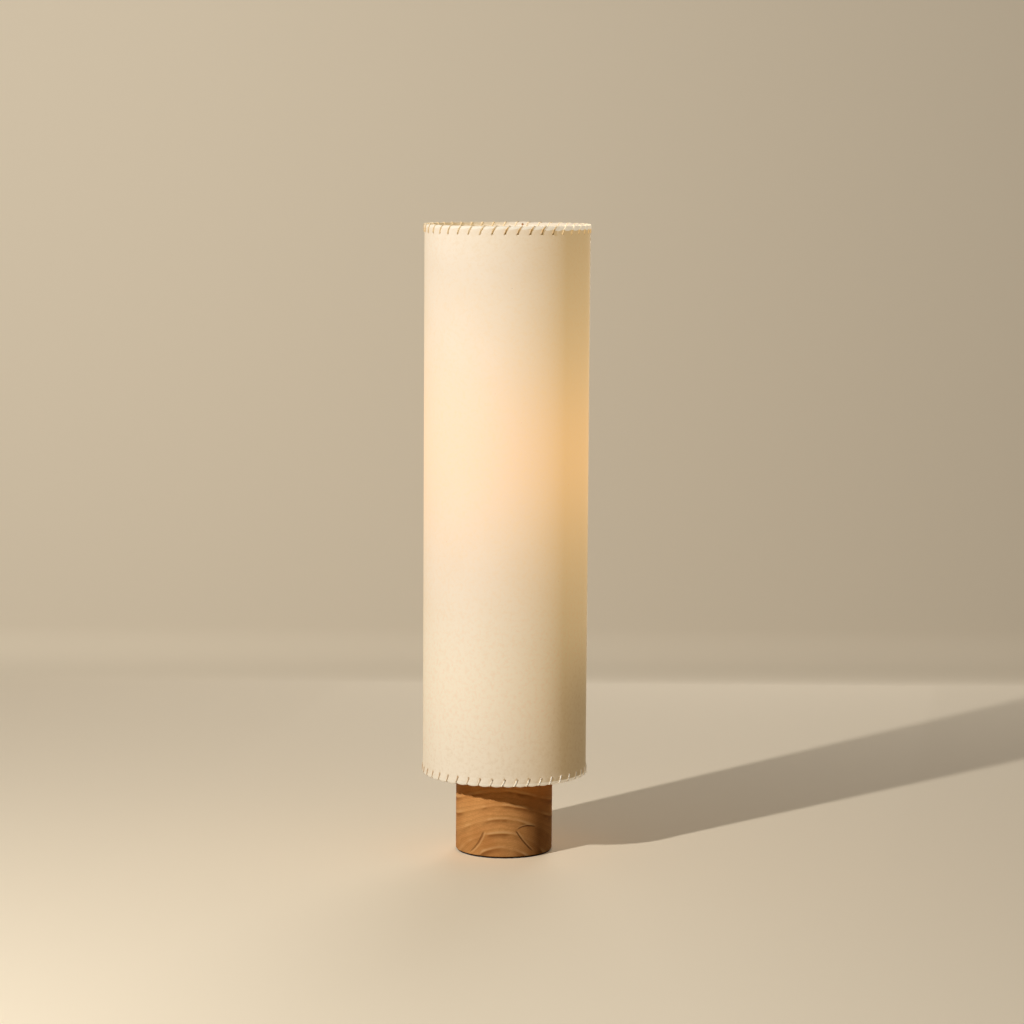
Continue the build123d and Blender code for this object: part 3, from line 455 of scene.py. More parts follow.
def woodFinish():
    made = Finish("turnedWood", {"Specular IOR Level": wood["specular"]})
    x, y, z = (side / mm for side in made.parts(made.place()))
    sway, waver, patch, cloud, stipple, pore = made.noises(woodNoise)
    sway, waver = sway - 0.5, waver - 0.5

    def band(name, ring):
        comes, goes = ringBands[name]
        return made.ease(ring, *comes) * made.ease(ring, *goes)

    # rings: the distance from an axis that runs front to back below the block, bent by noise
    across, up = x - wood["ringAxis"][0], z - wood["ringAxis"][1]
    far = made.distance(across, up) + sway * wood["sway"] + waver * wood["waver"]
    ring = made.maths("FRACT", (far - wood["firstRing"]) / wood["ringStep"])
    # each ring ends in a dark band and the next begins with a light one, and both come and go
    late, early = band("late", ring), band("early", ring)
    patch = made.ease(patch, 0.42, 0.6)
    fineRing = made.maths("FRACT", far / wood["fineStep"] + waver * 1.2)
    faint = band("faint", fineRing) * made.ease(sway, 0.12, -0.06)
    hairRing = made.maths("FRACT", far / wood["hairStep"] + waver * 2.0)
    hair = band("hair", hairRing) * made.ease(patch, 1.0, 0.2)
    pore = made.ease(pore, 0.6, 0.76)
    shape = checkShape
    front = made.ease(y, 0.0, shape["front"])
    crack = lip = front * 0.0
    for check in checks:
        along, side = (z, x) if check["over"] == "z" else (x, z)
        low, slope, bow = check["curve"]
        off = side - (along * along * bow + along * slope + low) + waver * shape["wander"]
        (first, last), (comes, goes) = check["ends"], shape["tapers"]
        taper = made.ease(along, first, first + comes) * made.ease(along, last, last - goes)
        half, wide = check["half"], check["half"] * shape["outer"]
        line = made.ease(made.maths("ABSOLUTE", off), wide, half * shape["inner"])
        crack = made.maths("MAXIMUM", crack, line * taper * front * check["depth"])
        # a painted highlight along one side of each check
        line = made.ease(made.maths("ABSOLUTE", off - half * shape["lip"]), wide, 0.0)
        lip = made.maths("MAXIMUM", lip, line * taper * front)
    layers = [
        (made.ease(cloud, 0.3, 0.7), "middle"),
        (faint * 0.3, "deep"),
        (hair * 0.2, "dark"),
        (made.ease(stipple, 0.42, 0.62, 0.0, 0.34), "deep"),
        (late * (0.14 + patch * 0.66), "dark"),
        (early * (0.12 + patch * 0.68), "pale"),
        (pore * 0.3, "dark"),
        # the checks' painted highlight, then the checks themselves
        (lip * 0.5, "pale"),
        (crack * 0.85, "check"),
    ]
    base = made.layered(wood["light"], [(share, wood[name]) for share, name in layers])
    height = stipple * 0.3 - late * patch * 0.05 - hair * 0.15 - pore * 0.4 - crack * 1.6
    return made.paint(base=base, rough=0.55 + stipple * 0.2, normal=made.bump(height, *wood["bump"]))


finishes["wood"] = woodFinish()

block = {
    "foot": 3.0, "top": 183.0, "radius": 90.0, "edge": 1.6, "innerEdge": 0.3, "cavity": 67.0,
    "cavityTop": 55.0, "rebate": 82.0, "rebateTop": 5.0, "bore": 5.2, "sideInset": 6.0, "sideRows": 26,
    "topRings": (60.0, 30.0), "segments": 256, "edgeSteps": 5,
}
# the inlet's plug, as (radius, distance from the lamp's axis)
inlet = {"level": 20.0, "plug": [(0, 20.0), (6.3, 20.0), (6.3, 89.1), (8.8, 89.1), (8.8, 95.0), (0, 95.0)]}


def blockMesh():
    # the closed profile (radius, height, cut of the corner): up the outside, over the top, down the
    # bore and out through the hollow
    b = block
    rows = [(b["rebate"], b["foot"], 0.0), (b["radius"], b["foot"], b["edge"])]
    sideLevels = np.linspace(b["foot"] + b["sideInset"], b["top"] - b["sideInset"], b["sideRows"])
    rows += [(b["radius"], level, 0.0) for level in sideLevels]
    rows += [(b["radius"], b["top"], b["edge"])] + [(r, b["top"], 0.0) for r in b["topRings"]]
    rows += [(b["bore"], b["top"], b["innerEdge"]), (b["bore"], b["cavityTop"], 0.0)]
    hollow = [("cavity", "cavityTop"), ("cavity", "rebateTop"), ("rebate", "rebateTop")]
    rows += [(b[radius], b[level], b["innerEdge"]) for radius, level in hollow]
    rows = np.array(rows)
    return turned("baseBlock", rows[:, :2], rows[:, 2], b["segments"], closed=True, steps=b["edgeSteps"])


def boredBlock():
    # the inlet's hole and its spot face are cut from the back with one stepped plug
    piece = addPiece("baseBlock", blockMesh(), finishes["wood"], "base", ["base_block"])
    plug = turned("plug", inlet["plug"])
    plug.transform(Matrix.Translation((0, 0, inlet["level"] * mm)) @ Matrix.Rotation(-math.pi / 2, 4, "X"))
    cutter = addObject("plug", plug)
    cut = piece.modifiers.new("inlet", "BOOLEAN")
    cut.operation = "DIFFERENCE"
    cut.solver = "EXACT"
    cut.object = cutter
    bpy.context.view_layer.update()
    shaped = bpy.data.meshes.new_from_object(piece.evaluated_get(bpy.context.evaluated_depsgraph_get()))
    piece.modifiers.clear()
    piece.data = shaped
    piece.data.set_sharp_from_angle(angle=math.radians(sharpFrom))
    bpy.data.objects.remove(cutter)


boredBlock()
print("base block made")

# Shade skin: one sheet round the wire frame, in millimetres and degrees. Rows and columns stand
# closer beside the holes, and the rolls are the angles at which the hem turns in over a ring.
skin = {
    "radius": 151.9, "outer": 152.4, "wall": 1.0, "foot": 150.5, "top": 1166.5, "split": 700.0,
    "lapStart": 75.04, "lapEnd": 78.80, "lapEase": 30.0, "leanEase": (11.0, 16.0),
    "bulge": {"top": 1.0, "foot": 1.5}, "scallop": {"top": 0.6, "foot": 3.0}, "swellPower": 0.6,
    "fade": 17.0, "hem": 6.0, "ringRadius": 149.3, "ringHalf": 2.0, "clip": 3.5, "clipFade": 9.0,
    "holeHalf": 1.6, "strayReach": 6.0, "besideHole": [-8.5, -5.5, -3.0, -1.5, 0.0, 1.5, 3.0, 5.5, 8.5],
    "besideLevel": [11.0, 9.0, 6.5, 4.5, 3.0, 1.5, 0.0, -1.5, -3.0, -6.5, -12.0, -18.0],
    "rolls": [180, 180, 157, 134, 111, 88, 68, 48, 30, 14], "middleInset": 26.0, "middleRows": 46,
    "sharp": 50.0,
}
stitches = {
    "count": 42,
    "stray": {"along": 0.5, "high": 0.4},
    "top": {"first": 79.6286, "level": 1153.5, "lean": 8.0},
    "foot": {"first": 81.8511, "level": 161.5, "lean": -5.0},
}
pitch = 2 * math.pi * skin["outer"] / stitches["count"]
stitchShift = {
    rim: {way: chance.uniform(-most, most, stitches["count"]) for way, most in stitches["stray"].items()}
    for rim in ("top", "foot")
}


def arcMm(degreesTurned):
    # the length along the sheet's outer face: the angle times the radius
    return np.radians(degreesTurned) * skin["outer"]


firstAt = {rim: arcMm(stitches[rim]["first"]) for rim in stitchShift}


def smoothStep(value):
    # three times the square less twice the cube, with the value held between nought and one
    value = np.clip(value, 0, 1)
    return value * value * (3 - 2 * value)


def skinRaise(along):
    # the sheet starts one wall further out, over its own end, and comes in after the lap
    return skin["wall"] * (1 - smoothStep((along - arcMm(skin["lapEnd"])) / skin["lapEase"]))


def skinColumns():
    # places along both rims: the same steps beside every hole, then up to the sheet's two ends; with
    # each column's distance from its hole and that hole's number
    offsets = np.array([*skin["besideHole"], pitch / 2])
    number = np.arange(stitches["count"])
    columns = {}
    for rim, shift in stitchShift.items():
        centre = firstAt[rim] + pitch * number + shift["along"]
        inner = (centre[:, None] + offsets).ravel()
        head = np.linspace(arcMm(skin["lapStart"]), inner[0], 4)[:-1]
        tail = np.linspace(inner[-1], arcMm(skin["lapEnd"] + 360.0), 5)[1:]
        columns[rim] = np.concatenate([head, inner, tail])
    farOff = 99.0
    local = np.concatenate([[farOff] * 3, np.tile(offsets, stitches["count"]), [farOff] * 4])
    owner = np.concatenate([[0] * 3, np.repeat(number, len(offsets)), [stitches["count"] - 1] * 4])
    return columns, local, owner


def skinRows():
    # the rows' levels and the angle each is turned in by; the hem hangs down inside the ring
    high, low = stitches["top"]["level"], stitches["foot"]["level"]
    rolls, beside = np.radians(skin["rolls"]), np.array(skin["besideLevel"])
    hem = np.concatenate([[skin["hem"], skin["hem"] / 2], np.zeros(len(rolls) - 2)])
    middle = np.linspace(high - skin["middleInset"], low + skin["middleInset"], skin["middleRows"])
    plain = np.concatenate([high + beside, middle, low - beside[::-1]])
    ringTop, ringFoot = skin["top"] - skin["ringHalf"], skin["foot"] + skin["ringHalf"]
    levels = np.concatenate([ringTop - hem, plain, ringFoot + hem[::-1]])
    return levels, np.concatenate([rolls, np.zeros(len(plain)), -rolls[::-1]])


def skinMesh():
    # a grid of rows and columns (length along the rim, level) is rolled round the Z axis, and its ends
    # are turned round the rings by radius plus cosine and level plus sine of each row's angle
    (columns, local, owner), (levels, bend) = skinColumns(), skinRows()
    start, end = arcMm(skin["lapStart"]), arcMm(skin["lapEnd"] + 360.0)
    high, low = stitches["top"]["level"], stitches["foot"]["level"]
    nearTop = (levels > skin["split"])[:, None]

    def atRim(top, foot):
        return np.where(nearTop, top, foot)

    # the columns run from the foot's holes to the top's, and lean with the lace at both rims
    share = np.clip((levels - low) / (high - low), 0, 1)[:, None]
    along = columns["foot"][None, :] * (1 - share) + columns["top"][None, :] * share
    above = np.clip((levels - high) / (skin["top"] - high), 0, 1)
    below = np.clip((low - levels) / (low - skin["foot"]), 0, 1)
    lean = (above * stitches["top"]["lean"] + below * stitches["foot"]["lean"])[:, None]
    first, last = skin["leanEase"]
    along = along + lean * (smoothStep((along - start) / first) * smoothStep((end - along) / last))
    # bulge: between two stitches the sheet swells out and its edge stands higher
    centreLine = atRim(firstAt["top"], firstAt["foot"]) + lean
    swell = np.abs(np.sin(math.pi * (along - centreLine) / pitch)) ** skin["swellPower"]
    edge = smoothStep(1 - np.minimum(skin["top"] - levels, levels - skin["foot"]) / skin["fade"])[:, None]
    bulge, scallop = (atRim(skin[name]["top"], skin[name]["foot"]) for name in ("bulge", "scallop"))
    turn = bend[:, None]
    layer = skin["radius"] - skin["ringRadius"] + skinRaise(along)
    swollen = layer + bulge * swell * edge * np.clip(np.cos(turn) + 0.25, 0, 1)
    radius = skin["ringRadius"] + swollen * np.cos(turn)
    height = levels[:, None] + (layer + scallop * swell) * np.sin(turn)
    # clip: the inner end's top corner is cut off
    nearEnd = np.clip(skin["clip"] - (end - along), 0, skin["clip"])
    height = height - nearEnd * smoothStep(1 - (skin["top"] - levels) / skin["clipFade"])[:, None]
    # holes: the eight points round each centre move on to a circle, and the four faces inside go
    rise = atRim(levels[:, None] - high, levels[:, None] - low) + 0 * along
    side = np.broadcast_to(local[None, :], along.shape)
    inHole = (np.abs(side) < skin["holeHalf"]) & (np.abs(rise) < skin["holeHalf"])
    corner = inHole & (np.abs(side) > 1.0) & (np.abs(rise) > 1.0)
    pull = np.where(corner, 1 - math.sqrt(0.5), 0.0)
    along = along - side * pull
    height = height - rise * pull
    stray = atRim(*(stitchShift[rim]["high"][owner][None, :] for rim in ("top", "foot")))
    height = height + stray * np.exp(-((rise / skin["strayReach"]) ** 2))
    keep = ~(inHole[:-1, :-1] & inHole[1:, :-1] & inHole[:-1, 1:] & inHole[1:, 1:])
    points = roundAxis(radius, along / skin["outer"], height) * mm
    lengths = joined(along, height) * mm
    return gridMesh("shadeSkin", points[::-1], lengths=lengths[::-1], keep=keep[::-1], sharp=skin["sharp"])


# The sheet is lit from inside. Light that it gives off is in linear red, green and blue, places are in
# metres from the lamp's axis and the floor, and the bands and the painted shade round holes and stitches are
# in millimetres.
parchment = {
    "pale": (199, 198, 194), "cloud": (192, 189, 182), "fibre": (172, 156, 132), "underGlow": (154, 160, 168),
    "edge": (176, 171, 158), "plain": (213, 209, 196), "paintedShade": (150, 112, 70), "lampHeight": 0.752,
    "lampReach": 0.115, "broadHeight": 0.80, "broadReach": 0.33, "haze": (0.245, 0.160, 0.070, 1.0),
    "broad": (0.37, 0.245, 0.105, 1.0), "near": (0.17, 0.06, 0.008, 1.0), "low": (0.026, 0.010, 0.0, 1.0),
    "innerLeft": (0.40, 0.28, 0.14, 1.0), "innerRight": (0.46, 0.36, 0.25, 1.0),
    "rimHighlight": (0.60, 0.50, 0.36, 1.0), "plainFoot": (0.56, 0.30), "plainTop": (1.08, 1.16),
    "lowHeight": (0.44, 0.26), "lowShadeSide": (0.06, 0.15), "rimSide": (0.04, 0.095),
    "rimSoft": (-0.0005, 0.0007), "footHighlightBand": (0.1542, 0.1522), "hemSide": (-0.03, 0.03), "hemIn": 1.2,
    "rimHighlightBand": (2.2, 4.6), "rimDeeper": 2.6, "holeShadeReach": (2.7, 1.6),
    "holeDepth": {"top": 0.35, "foot": 0.12},
    "footStitchShadow": {"off": 2.1, "half": (1.6, 0.4), "from": (1.0, -1.5), "depth": 0.75},
    "specks": {"scale": 62.0, "size": (0.045, 0.025), "patch": (0.58, 0.64), "depth": 0.6},
    "bump": (0.22, 0.0004),
}
parchmentNoise = {
    "cloud": (9.0, 4.0),
    "mottle": (150.0, 4.0, 0.62),
    "fibre": (480.0, 3.0, 0.6, (1.0, 1.0, 2.6)),
    "patch": (21.0, 1.0),
}
inside = {
    "pale": (220, 208, 184), "cloud": (210, 196, 168), "fibre": (190, 172, 140),
    "glow": (0.26, 0.19, 0.09, 1.0), "near": (0.46, 0.29, 0.10, 1.0), "bump": (0.2, 0.0004),
}
insideNoise = {"cloud": (12.0, 4.0), "fibre": (420.0, 4.0, 0.62, (1.0, 1.0, 2.6))}


def bell(made, z, name):
    # a share of one at its height above the floor, falling away as a bell curve over its reach
    level = (z - parchment[name + "Height"]) / parchment[name + "Reach"]
    return made.maths("EXPONENT", level * level * -0.5)


def parchmentFinish():
    p = parchment
    made = Finish("parchment", {"Specular IOR Level": 0.25, "Emission Strength": 1.0})
    x, y, z = made.parts(made.place())
    along = made.parts(made.along())[0]
    cloud, mottle, fibre, patch = made.noises(parchmentNoise)
    cells = made.node("TexVoronoi", {}, {"Vector": made.place(), "Scale": p["specks"]["scale"]})
    speck = made.ease(cells, *p["specks"]["size"]) * made.ease(patch, *p["specks"]["patch"])
    # light from inside: a broad bell over the height and a near one beside the bulb
    broad, near = bell(made, z, "broad"), bell(made, z, "lamp")
    uneven = 0.93 + mottle * 0.14
    lit = made.blend(broad * uneven, black, p["broad"])
    lit = made.blend(1.0, lit, p["haze"], "ADD")
    lit = made.blend(near * uneven, lit, made.blend(1.0, lit, p["near"], "ADD"))
    # towards both ends less light comes through, though a little is added near the foot and on the lower
    # right side some is taken away as painted shade; the sheet itself looks paler towards both ends
    low = made.ease(z, *p["lowHeight"])
    lit = made.blend(low, lit, made.blend(1.0, lit, p["low"], "ADD"))
    lit = made.blend(low * made.ease(x, *p["lowShadeSide"]) * 0.36, lit, black)
    layers = [
        (made.ease(cloud, 0.3, 0.75), "cloud"),
        # where the painted glow is strongest the sheet's colour is made greyer and darker, so that colour and
        # glow together stay under white
        (broad * 0.45 + near * 0.45, "underGlow"),
        (made.ease(z, *p["plainFoot"]) + made.ease(z, *p["plainTop"]) * 0.3, "plain"),
        (made.ease(mottle, 0.42, 0.72, 0.0, 0.26), "fibre"),
        (made.ease(fibre, 0.55, 0.8, 0.0, 0.2), "fibre"),
    ]
    # painted highlight: a pale band, given off as light, under the top edge where the rim would catch the
    # lamp, deepest halfway between two stitches and deeper on the right side, and a thin one over the foot's
    # edge
    turn = (along - firstAt["top"] * mm) / (pitch * mm) * math.pi
    arch = made.maths("ABSOLUTE", made.maths("SINE", turn))
    shallow, deep = p["rimHighlightBand"]
    right = made.ease(x, *p["rimSide"])
    bandFoot = skin["top"] * mm - (arch * (deep - shallow) + shallow + right * p["rimDeeper"]) * mm
    rim = made.ease(z - bandFoot, *p["rimSoft"])
    foot = made.ease(z, *p["footHighlightBand"])
    layers.append((rim + foot * 0.8, "edge"))
    lit = made.blend(rim + foot * 0.6, lit, p["rimHighlight"])
    # the hem, on the inner side of the ring, gets painted light of its own, brighter on its right half as if
    # lit from the left
    hem = made.ease(made.distance(x, y), skin["ringRadius"] * mm, (skin["ringRadius"] - p["hemIn"]) * mm)
    hemGlow = made.blend(made.ease(x, *p["hemSide"]), p["innerLeft"], p["innerRight"])
    lit = made.blend(hem, lit, hemGlow)
    # painted shade round every hole, and a painted shadow down the right side of each stitch at the foot,
    # where the lace would cast one
    dark = speck * p["specks"]["depth"]
    for rim, depth in p["holeDepth"].items():
        hole, lean = stitches[rim]["level"], stitches[rim]["lean"]
        start = firstAt[rim] * mm
        beyond = made.node("MapRange", {}, {0: z, 1: hole * mm, 2: skin[rim] * mm, 3: 0.0, 4: lean * mm})
        side = (made.maths("FRACT", (along - beyond - start) / (pitch * mm) + 0.5) - 0.5) * pitch * mm
        up = z - hole * mm
        ring = made.distance(side, up)
        around = made.ease(ring, *(reach * mm for reach in p["holeShadeReach"]))
        dark = made.maths("MAXIMUM", dark, around * depth)
        if rim == "foot":
            paintedShade = p["footStitchShadow"]
            line = made.maths("ABSOLUTE", side - paintedShade["off"] * mm)
            line = made.ease(line, *(half * mm for half in paintedShade["half"]))
            line = line * made.ease(z, *((hole + rise) * mm for rise in paintedShade["from"]))
            dark = made.maths("MAXIMUM", dark, line * paintedShade["depth"])
    layers.append((dark, "paintedShade"))
    base = made.layered(p["pale"], [(share, p[name]) for share, name in layers])
    lit = made.blend(dark, lit, black)
    normal = made.bump(mottle * 0.5 + fibre * 0.5, *p["bump"])
    return made.paint(base=base, glow=lit, rough=0.62 + mottle * 0.2, normal=normal)


def insideFinish():
    # the sheet's inner face: paler, and lit most near the bulb
    made = Finish("parchmentInside", {"Specular IOR Level": 0.2, "Emission Strength": 1.0})
    z = made.parts(made.place())[2]
    cloud, fibre = made.noises(insideNoise)
    layers = [
        (made.ease(cloud, 0.3, 0.75), inside["cloud"]),
        (made.ease(fibre, 0.45, 0.75, 0.0, 0.3), inside["fibre"]),
    ]
    base = made.layered(inside["pale"], layers)
    lit = made.blend(bell(made, z, "lamp"), inside["glow"], inside["near"])
    return made.paint(base=base, glow=lit, rough=0.7 + fibre * 0.2, normal=made.bump(fibre, *inside["bump"]))


finishes["parchment"] = parchmentFinish()
finishes["parchmentInside"] = insideFinish()
skinPiece = addPiece("shadeSkin", skinMesh(), finishes["parchment"], "shade", ["shade_skin"])
wall = skinPiece.modifiers.new("wall", "SOLIDIFY")
wall.thickness = skin["wall"] * mm
wall.offset = 0.0
skinPiece.data.materials.append(finishes["parchmentInside"].material)
wall.material_offset = 1
print("shade skin made")

# Lacing: one long lace winds round each rim, through a hole and over the edge once a stitch. The left and
# right spans are places across the lamp where painted light and shade change the lace's colour, in
# millimetres, and so are the lengths.
laces = {
    "top": {
        "halfWidth": 1.4, "halfThick": 0.7, "left": (228, 200, 154), "middle": (204, 160, 100),
        "right": (222, 200, 162), "hidden": (222, 204, 170), "hole": (84, 48, 20),
        "glow": (0.10, 0.06, 0.02, 1.0), "glowRight": (0.40, 0.26, 0.11, 1.0), "rightLitSpan": (76.0, 110.0),
        "leftSpan": (-60.0, 5.0), "slim": 1.0, "inner": 0.8,
    },
    "foot": {
        "halfWidth": 1.2, "halfThick": 0.85, "left": (198, 158, 110), "middle": (244, 234, 214),
        "right": (250, 243, 230), "hidden": (236, 222, 196), "hole": (176, 146, 106),
        "glow": (0.16, 0.13, 0.085, 1.0), "glowRight": (0.20, 0.16, 0.11, 1.0), "rightLitSpan": (48.0, 88.0),
        "leftSpan": (-48.0, -8.0), "slim": 0.62, "inner": 1.0,
    },
}
laceLook = {
    "grain": {"scale": 700.0, "rough": 0.6}, "grainStretch": (1.0, 5.0, 1.0), "nearHole": (3.8, 0.8),
    "outside": (-0.8, 0.2), "over": (-0.6, 0.5), "rimHighlight": (-6.0, -4.5), "innerSide": (-30.0, 30.0),
    "innerIn": 1.5, "bump": (0.35, 0.0003),
}
winding = {
    "clear": 0.12, "cuts": [0.7, 1.1, 2.4, 1.8, 1.8, 1.6], "cutSteps": 6, "startIn": 1.0, "kneeUp": 0.6,
    "kneeLean": 0.3, "past": 1.5, "underHem": 1.5, "crossShare": 0.45, "loose": 0.12,
    "ripple": (0.05, 0.37), "uneven": 0.03, "innerWidth": 0.72, "outerGain": 0.28,
    "rimMiddle": (1.0, 5.0), "sharp": 80.0,
}
rimWay = {"top": 1, "foot": -1}


def laceFinish(name, rim, left, middle, right, hidden, hole, glow, glowRight, rightLitSpan, leftSpan, inner, **sizes):
    # grain along the lace; the colour of its outer runs changes from the left of the lamp to its right,
    # painted light and shade rather than the lace's own colour, and the rest is pale
    made = Finish(name, {"Specular IOR Level": 0.3, "Emission Strength": 1.0})
    look, edge, way = laceLook, skin[rim], rimWay[rim]
    x, y, z = (side / mm for side in made.parts(made.place()))
    grain = made.noise(vector=made.along(stretch=look["grainStretch"]), **look["grain"])
    pastLeft = made.ease(x, *leftSpan)
    rightLit = made.ease(x, *rightLitSpan)
    nearHole = made.ease(made.maths("ABSOLUTE", z - stitches[rim]["level"]), *look["nearHole"])
    layers = [
        (pastLeft, middle),
        (rightLit, right),
        (made.ease(grain, 0.5, 0.8, 0.0, 0.35), dimmed(middle, 0.86)),
        # painted shade on the lace where it goes into its hole
        (nearHole * (pastLeft * 0.85 + 0.08) * (1.0 - rightLit), hole),
    ]
    radius = made.distance(x, y)
    outside = made.ease(radius, *(skin["radius"] + step for step in look["outside"]))
    over = made.ease(z, *(edge + way * step for step in look["over"]))
    base = made.blend(outside * (1.0 - over), tone(*hidden), made.layered(left, layers))
    # the lace gives off a little light everywhere and more on the right side: painted light
    lit = made.blend(rightLit, glow, glowRight)
    if rim == "top":
        # a painted highlight on the lace's upper part on the right, like the sheet's rim band
        upper = made.ease(z, *(edge + step for step in look["rimHighlight"]))
        lit = made.blend(upper * rightLit, lit, parchment["rimHighlight"])
    # inside the ring the lace gets the hem's painted light, brighter on the right half
    insideGlow = made.blend(made.ease(x, *look["innerSide"]), parchment["innerLeft"], parchment["innerRight"])
    within = made.ease(radius, skin["ringRadius"], skin["ringRadius"] - look["innerIn"])
    lit = made.blend(within * inner, lit, insideGlow)
    return made.paint(base=base, glow=lit, rough=0.5 + grain * 0.2, normal=made.bump(grain, *look["bump"]))


def laceMesh(name, rim, way):
    # corners of one stitch as (radius, height, length along the rim), repeated round the rim and rounded
    # by parabolas; the path goes round the Z axis and carries a rounded oblong
    w, lace, shift, count = winding, laces[rim], stitchShift[rim], stitches["count"]
    half = lace["halfThick"] + w["clear"]
    out = skin["radius"] + skin["wall"] / 2 + half
    layer = skin["radius"] - skin["ringRadius"] + skin["wall"] / 2 + half
    inside = skin["ringRadius"] - layer
    edge = skin[rim]
    ringLevel = edge - way * skin["ringHalf"]
    over = ringLevel + way * layer
    behind = ringLevel - way * (skin["hem"] + w["underHem"])
    hole, lean = stitches[rim]["level"], stitches[rim]["lean"]
    sign = 1 if lean > 0 else -1
    step = sign * pitch
    past = lean + sign * w["past"]
    stitch = [
        (skin["radius"] - skin["wall"] / 2 - w["startIn"], hole, 0.0),
        (out, hole, 0.0),
        (out, hole + (edge - hole) * w["kneeUp"], lean * w["kneeLean"]),
        (out, over, lean),
        (inside, over, past),
        (inside, behind, past + (step - past) * w["crossShare"]),
    ]
    number = np.arange(-1, count + 2)
    order = (sign * number) % count
    corners = np.tile(np.array(stitch)[None], (len(number), 1, 1))
    corners[:, :, 2] += (number * step + shift["along"][order])[:, None]
    corners[:, :2, 1] += shift["high"][order][:, None]
    corners[:, 1:5, 0] += chance.uniform(0, w["loose"], count)[order][:, None]
    curve = rounded(corners.reshape(-1, 3), np.tile(w["cuts"], len(number)), w["cutSteps"])
    perStitch = len(w["cuts"]) * w["cutSteps"]
    curve = curve[perStitch : perStitch * (count + 1)]
    along = firstAt[rim] + curve[:, 2]
    start = arcMm(skin["lapStart"])
    turn = np.mod(along - start, 2 * math.pi * skin["outer"]) + start
    # over the lap the lace stands further out from the ring, in the direction away from it
    above = np.maximum(way * (curve[:, 1] - ringLevel), 0)
    away = unit(joined(curve[:, 0] - skin["ringRadius"], above)) * skinRaise(turn)[:, None]
    angle = along / skin["outer"]
    path = roundAxis(curve[:, 0] + away[:, 0], angle, curve[:, 1] + way * away[:, 1])
    # outward runs from the middle of the rim's own section to the lace
    middleOut, middleDown = w["rimMiddle"]
    away = curve[:, :2] - [skin["ringRadius"] + middleOut, edge - way * middleDown]
    up = roundAxis(away[:, 0], angle, away[:, 1])
    # the lace is uneven, narrower inside the ring, and slimmer round the left half of the rim
    high, often = w["ripple"]
    widths = 1 + high * np.sin(np.arange(len(path)) * often)
    widths = widths + chance.uniform(-w["uneven"], w["uneven"], len(path))
    gain = w["outerGain"] * smoothStep((curve[:, 0] - inside) / (out - inside))
    first, last = lace["leftSpan"]
    slim = lace["slim"] + (1 - lace["slim"]) * smoothStep((path[:, 0] - first) / (last - first))
    widths = widths * (w["innerWidth"] + gain) * slim
    section = ovalSection(lace["halfWidth"], lace["halfThick"])
    return swept(name, path, up, section, widths, w["sharp"])


for rim, node in (("top", "top_lacing"), ("foot", "bottom_lacing")):
    name = rim + "Lace"
    finishes[name] = laceFinish(name, rim, **laces[rim])
    addPiece(name, laceMesh(name, rim, rimWay[rim]), finishes[name], "shade", [node])

knot = {
    "azimuth": 78.9, "radius": 144.6, "height": 1164.4, "loop": 1.15, "weave": 0.42, "strand": 0.55,
    "steps": 72, "sides": 10,
}
knotTones = {
    "left": (190, 140, 88), "middle": (186, 134, 80), "right": (190, 140, 88), "hidden": (156, 98, 48),
    "inner": 0.0,
}


def knotMesh():
    # a trefoil round the inner side of the top ring: it turns twice while it weaves three times
    t = np.linspace(0, 2 * math.pi, knot["steps"], endpoint=False)
    wide = knot["loop"] + knot["weave"] * np.cos(3 * t)
    flat = joined(wide * np.cos(2 * t), knot["weave"] * np.sin(3 * t), wide * np.sin(2 * t))
    a = math.radians(knot["azimuth"] - 90.0)
    turn = np.array([[math.cos(a), math.sin(a), 0.0], [-math.sin(a), math.cos(a), 0.0], [0.0, 0.0, 1.0]])
    centre = np.array([0.0, knot["radius"], knot["height"]])
    up = np.array([[0.0, 1.0, 0.0]])
    section = ovalSection(knot["strand"], knot["strand"], knot["sides"], power=1.0)
    return swept("laceKnot", (flat + centre) @ turn, up @ turn, section)


finishes["laceKnot"] = laceFinish("laceKnot", "top", **{**laces["top"], **knotTones})
addPiece("laceKnot", knotMesh(), finishes["laceKnot"], "shade")
print("laces wound and tied")

# Rolled threads of the bulb's cap and of the shell that holds it, in millimetres.
thread = {"pitch": 3.63, "rows": 72, "wall": 0.35, "fade": 1.6, "segments": 96, "sharp": 50.0}
capThread = {
    "radius": 12.6, "depth": 0.28, "skirt": 12.88, "foot": 686.5, "footRadius": 10.9, "low": 689.2,
    "high": 701.4, "top": 706.0,
}
shellThread = {
    "radius": 13.27, "depth": 0.22, "hole": 8.5, "foot": 679.05, "low": 681.0, "high": 702.2,
    "top": 703.0,
}


def threaded(name, profile, depth):
    # the profile (radius, height, share) goes round the Z axis, and each point moves in and out by its
    # share of the depth times the cosine of the turn, less one turn for each pitch of height
    profile = np.asarray(profile, float)
    radius, height, share = profile[:, :1], profile[:, 1:2], profile[:, 2:]
    angle = np.linspace(0, 2 * math.pi, thread["segments"], endpoint=False)
    wave = np.cos(angle - 2 * math.pi * height / thread["pitch"])
    points = roundAxis(radius + share * depth * wave, angle, height) * mm
    return gridMesh(name, points, closeRows=True, closeColumns=True, sharp=thread["sharp"])


def threadRows(made):
    # heights up the thread, and each one's share of the depth, which runs out at both ends
    height = np.linspace(made["low"], made["high"], thread["rows"])
    rising, ending = height - made["low"], made["high"] - height
    share = smoothStep(rising / thread["fade"]) * smoothStep(ending / thread["fade"])
    return joined(made["radius"], height, share)


